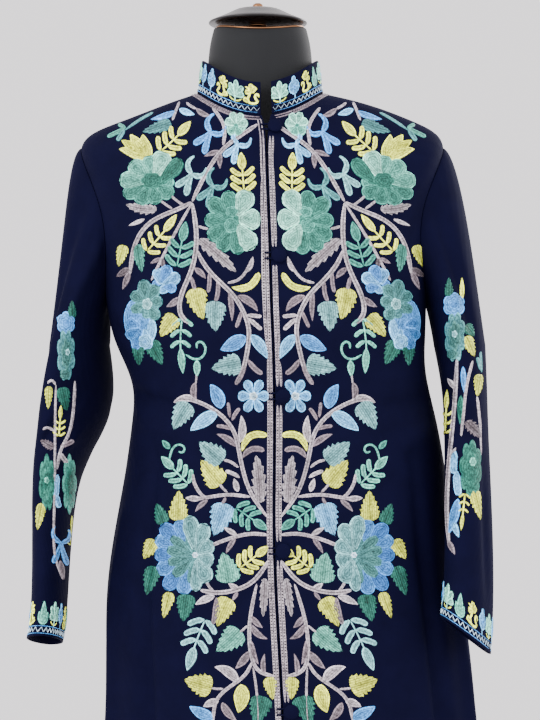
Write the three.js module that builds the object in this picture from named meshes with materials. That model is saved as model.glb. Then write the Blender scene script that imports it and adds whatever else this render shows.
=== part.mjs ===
// An embroidered long coat, buttoned on a limbless dress form with a pole and a round base.
// Millimetres, +Z up. The coat faces -Y. Left and right are the wearer's, so left is +X.
// The origin is the middle of the base's underside.
import * as THREE from "three";

const degrees = THREE.MathUtils.degToRad;

// Cloth sizes
const CLOTH = 2; // wall of the wool, with its embroidery
const SEAM_GAP = 0.4; // between two pieces that are sewn together
const HEM_Z = 320;

// The coat's body, a closed ring for each row from the neck seam down to the hem.
// The three heights are the ring's at the front, the sides and the back, because it
// climbs over the shoulders. midX is the ring's middle, which drifts as the coat hangs,
// closureX is where the two fronts meet, and square is the exponent of the outline.
const BODY_COLUMNS = ["frontZ", "sideZ", "backZ", "midX", "halfWidth", "front", "back", "closureX", "square"];
const BODY_ROWS = [
  [1371, 1403, 1413, -2, 69, 74, 62, 4.9, 2.0],
  [1350, 1395, 1398, 4, 100, 84, 74, 5.2, 2.05],
  [1325, 1384, 1375, 7, 131, 97, 86, 5.6, 2.1],
  [1300, 1372, 1348, 6, 161, 107, 96, 6.2, 2.1],
  [1280, 1362, 1327, 3, 186, 114, 102, 7.0, 2.1],
  [1260, 1347, 1306, 0, 201, 120, 107, 7.7, 2.15],
  [1241, 1315, 1283, 0, 195, 125, 110, 8.5, 2.3],
  [1221, 1277, 1253, 0, 185, 130, 111, 9.0, 2.4],
  [1194, 1220, 1210, 2, 178, 135, 110, 9.7, 2.4],
  [1163, 1168, 1167, 5, 174, 139, 106, 10.6, 2.35],
  [1134, 1134, 1134, 8, 170, 139, 102, 12.0, 2.3],
  [1108, 1108, 1108, 14, 163, 134, 98, 12.8, 2.2],
  [1079, 1079, 1079, 22, 160, 127, 94, 13.4, 2.2],
  [1042, 1042, 1042, 25, 167, 122, 93, 13.6, 2.2],
  [989, 989, 989, 26, 175, 120, 96, 13.2, 2.15],
  [930, 930, 930, 24, 184, 122, 104, 12.6, 2.1],
  [858, 858, 858, 24, 194, 127, 114, 15.5, 2.1],
  [779, 779, 779, 30, 197, 132, 120, 20.5, 2.1],
  [700, 700, 700, 33, 200, 136, 125, 24.0, 2.1],
  [600, 600, 600, 33, 209, 142, 132, 26.0, 2.05],
  [460, 460, 460, 31, 223, 151, 142, 27.0, 2.0],
  [HEM_Z, HEM_Z, HEM_Z, 29, 236, 159, 151, 28.0, 2.0],
];
const SHOULDER_ROW = 5; // the ring that passes over the shoulder tips
const ARMPIT_ROW = 9;
const HEM_ROW = BODY_ROWS.length - 1;

// Soft upright folds of the skirt: the middle's angle from the front, how wide and how
// deep each is at the hem, and the height where it starts.
const SKIRT_FOLDS = [
  { angle: 34, wide: 22, deep: 6, topZ: 700 },
  { angle: 64, wide: 26, deep: 11, topZ: 840 },
  { angle: 97, wide: 24, deep: 10, topZ: 1000 },
  { angle: 128, wide: 26, deep: 13, topZ: 1010 },
  { angle: 163, wide: 28, deep: 11, topZ: 960 },
  { angle: -164, wide: 24, deep: 13, topZ: 1020 },
  { angle: -131, wide: 28, deep: 10, topZ: 950 },
  { angle: -98, wide: 24, deep: 12, topZ: 990 },
  { angle: -68, wide: 26, deep: 11, topZ: 930 },
  { angle: -36, wide: 22, deep: 6, topZ: 680 },
];

// How far the armholes are cut into the fronts and the back, as angles of the rings
const ARMHOLE_FRONT = 26;
const ARMHOLE_BACK = 21;
const ARMHOLE_ROUND = 0.6; // a smaller exponent makes the armhole's ends squarer

// The gap between the fronts: open at the neck, nearly closed below the top button
const CLOSURE_GAP = 1.2;
const CLOSURE_GAP_AT_NECK = 10;
const CLOSURE_GAP_FALL = 0.55; // rings over which it narrows by a factor of e

// Sleeve sections from the upper arm to the cuff. out is the middle's distance from X 0,
// halfIn and halfDeep are the half sizes, turn swings the section's front outwards, and
// the two rises tilt the last ring, up at the inner side and up at the front.
const SLEEVE_COLUMNS = ["z", "out", "y", "halfIn", "halfDeep", "turn", "innerRise", "frontRise"];
const LEFT_SLEEVE_ROWS = [
  [1128, 215.3, -10, 28, 66, -3, 0, 0],
  [1080, 220.0, -24, 24, 62, -5, 0, 0],
  [1030, 219.5, -44, 23.5, 58, -9, 0, 0],
  [960, 219.0, -70, 24, 53, -14, 2, 1],
  [890, 218.0, -91, 24, 50, -18, 6, 6],
  [845, 215.0, -100, 24.5, 50, -18, 12, 12],
  [825, 212.5, -104, 25, 50, -17, 16, 16],
];
const RIGHT_SLEEVE_ROWS = [
  [1128, 199, -10, 25, 64, 17, 0, 0],
  [1095, 198.5, -13, 23, 63, 26, 0, 0],
  [1058, 201, -16, 22, 62, 30, 0, 0],
  [1030, 208.6, -18, 21, 61, 24, 0, 0],
  [1005, 216.5, -21, 20, 60, 18, 0, 0],
  [980, 222.5, -24, 19.5, 59, 11, 0, 0],
  [940, 226, -28, 19, 58, 6, 0, 1],
  [880, 227.5, -34, 17.5, 57, 4, 0, 5],
  [835, 229, -38, 17.5, 56, 3, 0, 10],
  [811, 233, -40, 17.8, 56, 2, 0, 13],
];
const CAP_STEPS = 6; // rings between the armhole and the upper arm
const CAP_LEAVES_TOP = new THREE.Vector3(0.92, 0, -0.39); // how the sleeve leaves the armhole
const CAP_LEAVES_UNDER = new THREE.Vector3(0.5, 0, -0.87);
const CAP_ARRIVES = new THREE.Vector3(0.15, 0, -1);
const CAP_LEAVE_PULL = 0.3; // shares of the distance from the armhole to the upper arm
const CAP_ARRIVE_PULL = 0.9;

// Grid of the cloth
const YOKE_STEPS = 8;
const ARMHOLE_STEPS = 12;
const SKIRT_STEPS = 16;
const FRONT_STEPS = 12;
const BACK_STEPS = 20;
const SLEEVE_STEP_SIZE = 40;

// The standing collar
const COLLAR_HEIGHT = 35.5;
const COLLAR_LEAN = 0.077; // the share by which its top is narrower
const COLLAR_OPEN = 12.1; // between its two ends
const COLLAR_STEPS = 28;

// Fabric-covered buttons on the left front and cord loops on the right one
const BUTTON_HEIGHTS = [1357, 1219, 1075, 915, 751, 590, 430];
const BUTTON_RADIUS = 8;
const BUTTON_DOME = 3.6;
const BUTTON_SHANK = { radius: 2, height: 2.6 };
const BUTTON_FROM_CLOSURE = 9;
const BUTTON_LIFT = 0.5;
const LOOP_RADIUS = 0.95;
const LOOP_LIFT = 1.65; // the cord's middle above the cloth
const LOOP_HALF_OPEN = 3;
const LOOP_ROUND = 4.4; // its radius round the shank
const LOOP_TAIL = 6; // how far its ends reach onto the right front

// The dress form. Above the armpits it follows the coat from inside.
const FORM_SHOULDER_CLEAR = 0.5;
const FORM_FRONT_CLEAR = 5;
const FORM_ARMHOLE_CLEAR = 20;
const FORM_NECK_CLEAR = { side: 5, front: 7 };
const FORM_STEPS = 28;
const NECK_ROWS = [
  { z: 1474.5, halfWidth: 50.5, front: 46.5, back: 46.5 },
  { z: 1462, halfWidth: 54, front: 49, back: 50 },
  { z: 1445, halfWidth: 56.6, front: 50.6, back: 51.6 },
  { z: 1415, halfWidth: 58, front: 52, back: 53 },
];
const NECK_FRONT_DIP = 8; // how much lower the neck's top edge is at the front
const FORM_COLUMNS = ["z", "midX", "halfWidth", "front", "back"];
const FORM_ROWS = [
  [1128, 7, 149, 126, 92],
  [1079, 8, 134, 112, 84],
  [1012, 10, 130, 104, 82],
  [950, 10, 142, 108, 92],
  [880, 9, 154, 114, 104],
  [825, 8, 158, 116, 108],
  [792, 8, 154, 112, 105],
];

// What tops and carries the form
const NECK_PLATE = { share: 0.955, gap: 0.3, height: 2.2 }; // share of the neck's top ring
const CAP_X = -4.5;
const CAP_POST = { radius: 10, fromZ: 1477.3, toZ: 1478.6 };
const NECK_CAP = { fromZ: 1479, brim: 54, lip: 2.4, crown: 23, crownZ: 1495, dish: 15.5, dishZ: 1493.4 };
const KNOB = { radius: 6, fromZ: 1493.7, height: 9 };
const POLE = { radius: 12.5, fromZ: 40.4, toZ: 791.6 };
const POLE_SOCKET = { radius: 24, fromZ: 16.3, toZ: 40.1 };
const BASE = { radius: 195, thick: 10, rise: 6 };

const MATERIALS = {
  wool: new THREE.MeshStandardMaterial({ color: 0x1b1d3c, roughness: 0.85, metalness: 0 }),
  form: new THREE.MeshStandardMaterial({ color: 0x2b2f33, roughness: 0.7, metalness: 0 }),
  lacquer: new THREE.MeshStandardMaterial({ color: 0x5d5a5c, roughness: 0.25, metalness: 0.8 }),
  brass: new THREE.MeshStandardMaterial({ color: 0xc9a25c, roughness: 0.3, metalness: 1 }),
  steel: new THREE.MeshStandardMaterial({ color: 0xb9bbbe, roughness: 0.25, metalness: 1 }),
};

// The value at a fractional place of a table, on a cubic B-spline that starts and ends on
// the table's first and last rows and smooths the rows between.
function along(rows, column, place) {
  const last = rows.length - 1;
  const i = Math.min(Math.max(Math.floor(place), 0), last - 1);
  const t = place - i;
  const before = i > 0 ? rows[i - 1][column] : 2 * rows[0][column] - rows[1][column];
  const after = i + 2 <= last ? rows[i + 2][column] : 2 * rows[last][column] - rows[last - 1][column];
  const near = (3 * t ** 3 - 6 * t ** 2 + 4) * rows[i][column];
  const next = (1 + 3 * t + 3 * t ** 2 - 3 * t ** 3) * rows[i + 1][column];
  return ((1 - t) ** 3 * before + near + next + t ** 3 * after) / 6;
}

// A table's row at a fractional place, as an object with the columns' names.
function section(columns, rows, place) {
  return Object.fromEntries(columns.map((name, column) => [name, along(rows, column, place)]));
}

const signedPower = (value, exponent) => Math.sign(value) * Math.abs(value) ** exponent;

// How far the skirt's folds push the cloth out at an angle and a height.
function foldDepth(angle, z) {
  return SKIRT_FOLDS.reduce((sum, fold) => {
    const away = Math.abs(THREE.MathUtils.euclideanModulo(angle - degrees(fold.angle) + Math.PI, 2 * Math.PI) - Math.PI);
    const across = Math.min(away / degrees(fold.wide), 1);
    const down = THREE.MathUtils.clamp((fold.topZ - z) / (fold.topZ - HEM_Z), 0, 1);
    return sum + fold.deep * down * (0.5 + 0.5 * Math.cos(Math.PI * across));
  }, 0);
}

// A point of the coat's outside. The angle is 0 at the front and 90 degrees at the left side.
function bodyPoint(angle, place) {
  const ring = section(BODY_COLUMNS, BODY_ROWS, place);
  const [s, c] = [Math.sin(angle), Math.cos(angle)];
  const across = ring.halfWidth * signedPower(s, 2 / ring.square);
  const deep = -(c > 0 ? ring.front : ring.back) * signedPower(c, 2 / ring.square);
  const z = ring.sideZ + ((c > 0 ? ring.frontZ : ring.backZ) - ring.sideZ) * c * c;
  const stretch = 1 + foldDepth(angle, z) / Math.hypot(across, deep);
  return new THREE.Vector3(ring.midX + across * stretch, deep * stretch, z);
}

// The outward normal of a surface that is a function of two numbers.
function normalOf(surface, u, v, du = 1e-3, dv = 1e-3) {
  const alongU = surface(u + du, v).sub(surface(u - du, v));
  const alongV = surface(u, v + dv).sub(surface(u, v - dv));
  return alongV.cross(alongU).normalize();
}

const bodyNormal = (angle, place) => normalOf(bodyPoint, angle, place);

// The ring angle of the point that is a given distance in X from the ring's middle.
function angleAtX(x, place) {
  const ring = section(BODY_COLUMNS, BODY_ROWS, place);
  return Math.asin(signedPower((x - ring.midX) / ring.halfWidth, ring.square / 2));
}

const closureX = (place) => along(BODY_ROWS, BODY_COLUMNS.indexOf("closureX"), place);
const closureGap = (place) => CLOSURE_GAP + (CLOSURE_GAP_AT_NECK - CLOSURE_GAP) * Math.exp(-place / CLOSURE_GAP_FALL);

// An angle moved along its ring by a distance.
function shifted(angle, place, distance) {
  const speed = bodyPoint(angle + 1e-3, place).distanceTo(bodyPoint(angle - 1e-3, place)) / 2e-3;
  return angle + distance / speed;
}

// The ring angle where a panel stops at the armhole, or at the shoulder or side seam.
function sideEdge(place, depth) {
  const down = THREE.MathUtils.clamp((place - SHOULDER_ROW) / (ARMPIT_ROW - SHOULDER_ROW), 0, 1);
  return degrees(90) - degrees(depth) * Math.sin(Math.PI * down) ** ARMHOLE_ROUND;
}

const frontEdge = (side, place) => side * sideEdge(place, ARMHOLE_FRONT);
const backEdge = (side, place) => side * (Math.PI - sideEdge(place, ARMHOLE_BACK));

// The place on the body of a share of the way down the armhole. Even shares lie closer
// together near the armhole's two ends.
function armholePlace(share) {
  const eased = 0.5 - 0.5 * Math.cos(Math.PI * share);
  return SHOULDER_ROW + (ARMPIT_ROW - SHOULDER_ROW) * THREE.MathUtils.lerp(share, eased, 0.6);
}

// The places of the cloth's rows
const armholePlaces = Array.from({ length: ARMHOLE_STEPS + 1 }, (_, i) => armholePlace(i / ARMHOLE_STEPS));
const yokePlaces = Array.from({ length: YOKE_STEPS }, (_, i) => (SHOULDER_ROW * i) / YOKE_STEPS);
const skirtPlaces = Array.from({ length: SKIRT_STEPS }, (_, i) =>
  ARMPIT_ROW + ((HEM_ROW - ARMPIT_ROW) * (i + 1)) / SKIRT_STEPS);
const clothPlaces = [...yokePlaces, ...armholePlaces, ...skirtPlaces];

// A closed solid between two grids of points with the same rows and columns. A round grid
// joins its last column to its first, and a lid closes a grid whose inside is left solid.
function between(outer, inner, round = false) {
  const [rows, columns] = [outer.length, outer[0].length];
  const points = [...outer.flat(), ...inner.flat()];
  const at = (layer, row, column) => layer * rows * columns + row * columns + (column % columns);
  const faces = [];
  const quad = (a, b, c, d) => faces.push(a, b, c, a, c, d);
  const spans = round ? columns : columns - 1;
  for (let i = 0; i < rows - 1; i++)
    for (let j = 0; j < spans; j++) {
      quad(at(0, i, j), at(0, i + 1, j), at(0, i + 1, j + 1), at(0, i, j + 1));
      quad(at(1, i, j), at(1, i, j + 1), at(1, i + 1, j + 1), at(1, i + 1, j));
    }
  for (let j = 0; j < spans; j++) {
    quad(at(0, 0, j), at(0, 0, j + 1), at(1, 0, j + 1), at(1, 0, j));
    quad(at(0, rows - 1, j), at(1, rows - 1, j), at(1, rows - 1, j + 1), at(0, rows - 1, j + 1));
  }
  if (!round)
    for (let i = 0; i < rows - 1; i++) {
      quad(at(0, i, 0), at(1, i, 0), at(1, i + 1, 0), at(0, i + 1, 0));
      quad(at(0, i, spans), at(0, i + 1, spans), at(1, i + 1, spans), at(1, i, spans));
    }
  return solid(points, faces);
}

// A geometry from points and triangles, turned so that its faces point out.
function solid(points, faces) {
  const volume = faces.reduce((sum, a, i) =>
    i % 3 ? sum : sum + points[a].dot(points[faces[i + 1]].clone().cross(points[faces[i + 2]])), 0);
  const index = volume > 0 ? faces : faces.toReversed();
  const geometry = new THREE.BufferGeometry().setFromPoints(points).setIndex(index);
  geometry.computeVertexNormals();
  return geometry;
}

// A cloth panel between two edges of the rings, which are functions of the place.
function bodyPanel(fromAngle, toAngle, steps) {
  const grids = [[], []];
  for (const place of clothPlaces) {
    const [from, to] = [fromAngle(place), toAngle(place)];
    const angles = Array.from({ length: steps + 1 }, (_, j) => from + ((to - from) * j) / steps);
    grids[0].push(angles.map((angle) => bodyPoint(angle, place)));
    grids[1].push(angles.map((angle, j) => grids[0].at(-1)[j].clone().addScaledVector(bodyNormal(angle, place), -CLOTH)));
  }
  return between(...grids);
}

// A front, from the closure to the shoulder seam, armhole and side seam. side is 1 for the left.
function frontPanel(side) {
  const closure = (place) => angleAtX(closureX(place) + (side * closureGap(place)) / 2, place);
  return bodyPanel(closure, (place) => shifted(frontEdge(side, place), place, (-side * SEAM_GAP) / 2), FRONT_STEPS);
}

// The back, from its left edge round to its right edge.
function backPanel() {
  const edge = (side) => (place) => shifted(backEdge(side, place), place, (side * SEAM_GAP) / 2);
  const right = edge(-1);
  return bodyPanel(edge(1), (place) => right(place) + 2 * Math.PI, BACK_STEPS);
}

// A sleeve's point. turn runs from 0 at the shoulder tip over the front, 0.5 at the armpit,
// and back behind. down is below 0 between the armhole and the upper arm, and then counts
// the table's rows.
function sleevePoint(side, rows, turn, down) {
  const row = section(SLEEVE_COLUMNS, rows, Math.max(down, 0));
  const [outwards, forwards] = [
    row.halfIn * Math.cos(2 * Math.PI * turn),
    row.halfDeep * Math.sin(2 * Math.PI * turn),
  ];
  const swing = degrees(row.turn);
  const ring = new THREE.Vector3(
    side * (row.out + outwards * Math.cos(swing) + forwards * Math.sin(swing)),
    row.y - forwards * Math.cos(swing) + outwards * Math.sin(swing),
    row.z - (row.innerRise * outwards) / row.halfIn + (row.frontRise * forwards) / row.halfDeep,
  );
  if (down >= 0) return ring;
  const half = 1 - Math.abs(1 - 2 * THREE.MathUtils.euclideanModulo(turn, 1));
  const place = armholePlace(half);
  const edge = THREE.MathUtils.euclideanModulo(turn, 1) < 0.5 ? frontEdge : backEdge;
  const mirror = new THREE.Vector3(side, 1, 1);
  const leaves = CAP_LEAVES_TOP.clone().lerp(CAP_LEAVES_UNDER, half).multiply(mirror);
  const start = bodyPoint(edge(side, place), place).addScaledVector(leaves, SEAM_GAP);
  const reach = start.distanceTo(ring);
  const t = 1 + down;
  return start.multiplyScalar(2 * t ** 3 - 3 * t ** 2 + 1)
    .addScaledVector(leaves, (t ** 3 - 2 * t ** 2 + t) * CAP_LEAVE_PULL * reach)
    .addScaledVector(ring, 3 * t ** 2 - 2 * t ** 3)
    .addScaledVector(CAP_ARRIVES.clone().multiply(mirror), (t ** 3 - t ** 2) * CAP_ARRIVE_PULL * reach);
}

// A set-in sleeve, sewn all round its armhole and open at the cuff.
function sleeve(side, rows) {
  const surface = (turn, down) => sleevePoint(side, rows, turn, down);
  const lower = Math.round((rows[0][0] - rows.at(-1)[0]) / SLEEVE_STEP_SIZE) + 3;
  const downs = [
    ...Array.from({ length: CAP_STEPS }, (_, i) => i / CAP_STEPS - 1),
    ...Array.from({ length: lower + 1 }, (_, i) => ((rows.length - 1) * i) / lower),
  ];
  const turns = Array.from({ length: 2 * ARMHOLE_STEPS }, (_, j) => j / (2 * ARMHOLE_STEPS));
  const outer = downs.map((down) => turns.map((turn) => surface(turn, down)));
  const inner = outer.map((ring, i) => ring.map((point, j) => {
    const next = (rowStep, turnStep) =>
      outer[THREE.MathUtils.clamp(i + rowStep, 0, outer.length - 1)][THREE.MathUtils.euclideanModulo(j + turnStep, turns.length)];
    const down = next(1, 0).clone().sub(next(-1, 0));
    const across = next(0, 1).clone().sub(next(0, -1));
    return point.clone().addScaledVector(down.cross(across).normalize(), side * CLOTH);
  }));
  return between(outer, inner, true);
}

// The standing collar on the neck seam. It leans in towards its top, and its ends stay apart.
function collar() {
  const ends = [1, -1].map((side) => angleAtX(closureX(0) + (side * COLLAR_OPEN) / 2, 0));
  const surface = (angle, up) => {
    const lean = 1 - COLLAR_LEAN * up;
    const foot = bodyPoint(angle, 0);
    const midX = along(BODY_ROWS, BODY_COLUMNS.indexOf("midX"), 0);
    return new THREE.Vector3(midX + (foot.x - midX) * lean, foot.y * lean, foot.z + SEAM_GAP + COLLAR_HEIGHT * up);
  };
  const angles = Array.from({ length: COLLAR_STEPS + 1 }, (_, j) =>
    ends[0] + ((ends[1] + 2 * Math.PI - ends[0]) * j) / COLLAR_STEPS);
  const ups = [1, 0.5, 0];
  const outer = ups.map((up) => angles.map((angle) => surface(angle, up)));
  const inner = ups.map((up, i) => angles.map((angle, j) =>
    outer[i][j].clone().addScaledVector(normalOf((a, down) => surface(a, -down), angle, -up), -CLOTH)));
  return between(outer, inner);
}

// A solid of revolution about Z from pairs of radius and height, listed from the bottom up.
function turned(profile, segments) {
  const geometry = new THREE.LatheGeometry(profile.map(([r, z]) => new THREE.Vector2(r, z)), segments);
  return geometry.rotateX(Math.PI / 2);
}

function disc(radius, fromZ, toZ, segments) {
  return turned([[0, fromZ], [radius, fromZ], [radius, toZ], [0, toZ]], segments);
}

// The place on the body's front where a height is met beside the closure.
function closureSpot(z, fromClosure) {
  const surfaceZ = (place) => bodyPoint(angleAtX(closureX(place) + fromClosure, place), place).z;
  let [low, high] = [0, HEM_ROW];
  for (let i = 0; i < 40; i++) {
    const middle = (low + high) / 2;
    if (surfaceZ(middle) > z) low = middle;
    else high = middle;
  }
  const angle = angleAtX(closureX(low) + fromClosure, low);
  return { point: bodyPoint(angle, low), normal: bodyNormal(angle, low) };
}

// A frame on the cloth at a button: across towards the left side, up, and out.
function clothFrame(z, fromClosure) {
  const { point, normal } = closureSpot(z, fromClosure);
  const across = new THREE.Vector3(0, 0, 1).cross(normal).normalize();
  return new THREE.Matrix4().makeBasis(across, normal.clone().cross(across), normal).setPosition(point);
}

// A covered button: a low dome on a shank.
function button(z) {
  const neck = BUTTON_LIFT + BUTTON_SHANK.height;
  const dome = [90, 60, 30, 0].map((tilt) => [
    BUTTON_RADIUS * Math.sin(degrees(tilt)),
    neck + 0.8 + BUTTON_DOME * Math.cos(degrees(tilt)),
  ]);
  const profile = [[0, BUTTON_LIFT], [BUTTON_SHANK.radius, BUTTON_LIFT], [BUTTON_SHANK.radius, neck],
    [BUTTON_RADIUS - 1, neck], ...dome];
  return turned(profile, 14).applyMatrix4(clothFrame(z, BUTTON_FROM_CLOSURE));
}

// The cord loop that holds a button, from the right front's edge round the shank and back.
function loop(z) {
  const frame = clothFrame(z, BUTTON_FROM_CLOSURE);
  const tail = -BUTTON_FROM_CLOSURE - LOOP_TAIL;
  const round = [60, 0, -60].map((turn) => [LOOP_ROUND * Math.cos(degrees(turn)), LOOP_ROUND * Math.sin(degrees(turn))]);
  const route = [[tail, LOOP_HALF_OPEN], [-BUTTON_FROM_CLOSURE, LOOP_HALF_OPEN], ...round,
    [-BUTTON_FROM_CLOSURE, -LOOP_HALF_OPEN], [tail, -LOOP_HALF_OPEN]];
  const path = new THREE.CatmullRomCurve3(route.map(([x, y]) =>
    new THREE.Vector3(x, y, LOOP_LIFT).applyMatrix4(frame)));
  const cord = new THREE.Shape(Array.from({ length: 6 }, (_, i) =>
    new THREE.Vector2(LOOP_RADIUS * Math.cos((Math.PI * i) / 3), LOOP_RADIUS * Math.sin((Math.PI * i) / 3))));
  return new THREE.ExtrudeGeometry(cord, { steps: 14, extrudePath: path });
}

const formAngles = Array.from({ length: FORM_STEPS }, (_, j) => (2 * Math.PI * j) / FORM_STEPS);
const neckX = along(BODY_ROWS, BODY_COLUMNS.indexOf("midX"), 0);

function oval(angle, midX, halfWidth, front, back, z) {
  const deep = -(Math.cos(angle) > 0 ? front : back) * Math.cos(angle);
  return new THREE.Vector3(midX + halfWidth * Math.sin(angle), deep, z);
}

// A ring of the neck. The top one dips at the front.
function neckRing(row) {
  const { z, halfWidth, front, back } = NECK_ROWS[row];
  const dip = row === 0 ? NECK_FRONT_DIP : 0;
  return formAngles.map((angle) =>
    oval(angle, neckX, halfWidth, front, back, z - dip * Math.max(Math.cos(angle), 0) ** 2));
}

// The form's body in one piece: neck, shoulders, and a torso that ends flat at the hips.
function torso() {
  const angles = formAngles;
  const neck = NECK_ROWS.map((_, row) => neckRing(row));
  const formPlaces = clothPlaces.filter((place) => place <= ARMPIT_ROW)
    .filter((_, i) => i < YOKE_STEPS || i % 2 === 0);
  const shoulders = formPlaces.map((place) =>
    angles.map((angle) => {
      const side = Math.sin(angle) ** 2;
      const atFront = Math.max(Math.cos(angle), 0) ** 2;
      const atNeck = Math.max(0, 1 - place) * (FORM_NECK_CLEAR.side + FORM_NECK_CLEAR.front * atFront);
      const armhole = FORM_ARMHOLE_CLEAR * THREE.MathUtils.smoothstep(place, SHOULDER_ROW - 1, SHOULDER_ROW + 1);
      const inset = CLOTH + FORM_SHOULDER_CLEAR + atNeck + FORM_FRONT_CLEAR * (1 - side) + armhole * side;
      return bodyPoint(angle, place).addScaledVector(bodyNormal(angle, place), -inset);
    }));
  const lower = FORM_ROWS.map((_, i) => section(FORM_COLUMNS, FORM_ROWS, i)).map((row) =>
    angles.map((angle) => oval(angle, row.midX, row.halfWidth, row.front, row.back, row.z)));
  const rings = [...neck, ...shoulders, ...lower];
  const points = [...rings.flat(), new THREE.Vector3(neckX, 0, NECK_ROWS[0].z),
    new THREE.Vector3(0, 0, FORM_ROWS.at(-1)[0])];
  const [top, bottom] = [points.length - 2, points.length - 1];
  const faces = [];
  angles.forEach((_, j) => {
    const next = (j + 1) % FORM_STEPS;
    for (let i = 0; i < rings.length - 1; i++) {
      const [a, b] = [i * FORM_STEPS, (i + 1) * FORM_STEPS];
      faces.push(a + j, b + j, b + next, a + j, b + next, a + next);
    }
    faces.push(top, j, next);
    faces.push(bottom, points.length - 2 - FORM_STEPS + next, points.length - 2 - FORM_STEPS + j);
  });
  return solid(points, faces);
}

// A thin plate on the neck's top: its ring drawn in towards the middle, and dipped as it is.
function neckPlate() {
  const { share, gap, height } = NECK_PLATE;
  const middle = new THREE.Vector3(neckX, 0, NECK_ROWS[0].z);
  const rim = neckRing(0).map((point) => middle.clone().lerp(point, share));
  const low = [middle, ...rim].map((point) => point.clone().setZ(point.z + gap));
  const high = low.map((point) => point.clone().setZ(point.z + height));
  const faces = formAngles.flatMap((_, j) => {
    const [a, b] = [1 + j, 1 + ((j + 1) % FORM_STEPS)];
    const up = low.length;
    return [0, b, a, up, up + a, up + b, a, b, up + b, a, up + b, up + a];
  });
  return solid([...low, ...high], faces);
}

function neckCap() {
  const { fromZ, brim, lip, crown, crownZ, dish, dishZ } = NECK_CAP;
  return turned([[0, fromZ], [brim - 2, fromZ], [brim, fromZ + 1], [brim, fromZ + lip],
    [(brim + crown) / 2, (fromZ + lip + crownZ) / 2 + 1], [crown, crownZ], [dish + 1.5, crownZ],
    [dish, dishZ], [0, dishZ]], 36);
}

function knob() {
  const { radius, fromZ, height } = KNOB;
  return turned([[0, fromZ], [radius * 0.7, fromZ], [radius, fromZ + height * 0.35], [radius, fromZ + height * 0.7],
    [radius * 0.6, fromZ + height], [0, fromZ + height]], 20);
}

function base() {
  const { radius, thick, rise } = BASE;
  return turned([[0, 0], [radius - 2, 0], [radius, 2], [radius, thick - 2], [radius - 3, thick],
    [radius * 0.35, thick + rise], [0, thick + rise]], 48);
}

const coatOnForm = new THREE.Group();

function add(name, geometry, material, x = 0) {
  const mesh = new THREE.Mesh(geometry, material);
  mesh.name = name;
  mesh.position.x = x;
  coatOnForm.add(mesh);
}

add("front_left", frontPanel(1), MATERIALS.wool);
add("front_right", frontPanel(-1), MATERIALS.wool);
add("back", backPanel(), MATERIALS.wool);
add("sleeve_left", sleeve(1, LEFT_SLEEVE_ROWS), MATERIALS.wool);
add("sleeve_right", sleeve(-1, RIGHT_SLEEVE_ROWS), MATERIALS.wool);
add("collar", collar(), MATERIALS.wool);
BUTTON_HEIGHTS.forEach((z, i) => {
  add(`button_${i + 1}`, button(z), MATERIALS.wool);
  add(`loop_${i + 1}`, loop(z), MATERIALS.wool);
});
add("form_torso", torso(), MATERIALS.form);
add("form_neck_plate", neckPlate(), MATERIALS.brass);
add("form_cap_post", disc(CAP_POST.radius, CAP_POST.fromZ, CAP_POST.toZ, 20), MATERIALS.brass, CAP_X);
add("form_cap", neckCap(), MATERIALS.lacquer, CAP_X);
add("form_knob", knob(), MATERIALS.brass, CAP_X);
add("stand_pole", disc(POLE.radius, POLE.fromZ, POLE.toZ, 20), MATERIALS.steel);
add("stand_socket", disc(POLE_SOCKET.radius, POLE_SOCKET.fromZ, POLE_SOCKET.toZ, 24), MATERIALS.steel);
add("stand_base", base(), MATERIALS.steel);

export default coatOnForm;
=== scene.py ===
"""Looks of a long navy wool coat with chain-stitch embroidery, buttoned on a limbless dress form.

All lengths in this file are millimetres, and they become metres when a mesh is made. +Z is up
and the coat faces -Y. Left and right are the wearer's. The cloth is a set of surfaces, each a
function of two parameters; the embroidery is laid on the same functions, a little further out.
"""

import logging
import math
from dataclasses import dataclass, field
from enum import Enum
from functools import partial
from typing import Callable, Optional, Sequence

import bpy
import numpy as np
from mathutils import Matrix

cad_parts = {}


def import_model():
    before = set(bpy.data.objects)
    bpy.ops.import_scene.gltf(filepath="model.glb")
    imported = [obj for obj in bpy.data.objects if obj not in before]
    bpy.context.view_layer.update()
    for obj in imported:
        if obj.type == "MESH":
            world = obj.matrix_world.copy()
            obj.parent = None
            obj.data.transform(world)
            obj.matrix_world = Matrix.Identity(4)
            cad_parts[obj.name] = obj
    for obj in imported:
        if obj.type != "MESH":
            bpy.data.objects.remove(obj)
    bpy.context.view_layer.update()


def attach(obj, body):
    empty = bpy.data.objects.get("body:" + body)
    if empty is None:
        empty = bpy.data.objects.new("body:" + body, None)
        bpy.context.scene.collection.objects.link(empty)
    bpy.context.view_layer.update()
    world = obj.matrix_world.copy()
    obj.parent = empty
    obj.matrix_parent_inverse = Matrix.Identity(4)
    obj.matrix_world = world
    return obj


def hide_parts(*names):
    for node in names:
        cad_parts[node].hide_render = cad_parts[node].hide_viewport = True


LOG = logging.getLogger("long_coat")
MM = 0.001

# The photograph's frame and view: the camera is level and looks along +Y.
PHOTO_WIDTH, PHOTO_HEIGHT = 540, 720
PIXELS_PER_MM = 0.913  # in the plane y = 0
CAMERA = np.array([8.8, -2100.0, 1112.0])
MM_PER_PIXEL = 1.03  # on the coat's front, which is nearer

Array = np.ndarray
Piece = bpy.types.Object
Material = bpy.types.Material
NodeTree = bpy.types.NodeTree
Node = bpy.types.Node
Socket = bpy.types.NodeSocket
Knots = Sequence[tuple[float, float]]
Chart = Callable[[Array, Array], tuple[Array, Array]]
Frame = tuple[Array, Array, Array, Array]


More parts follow.
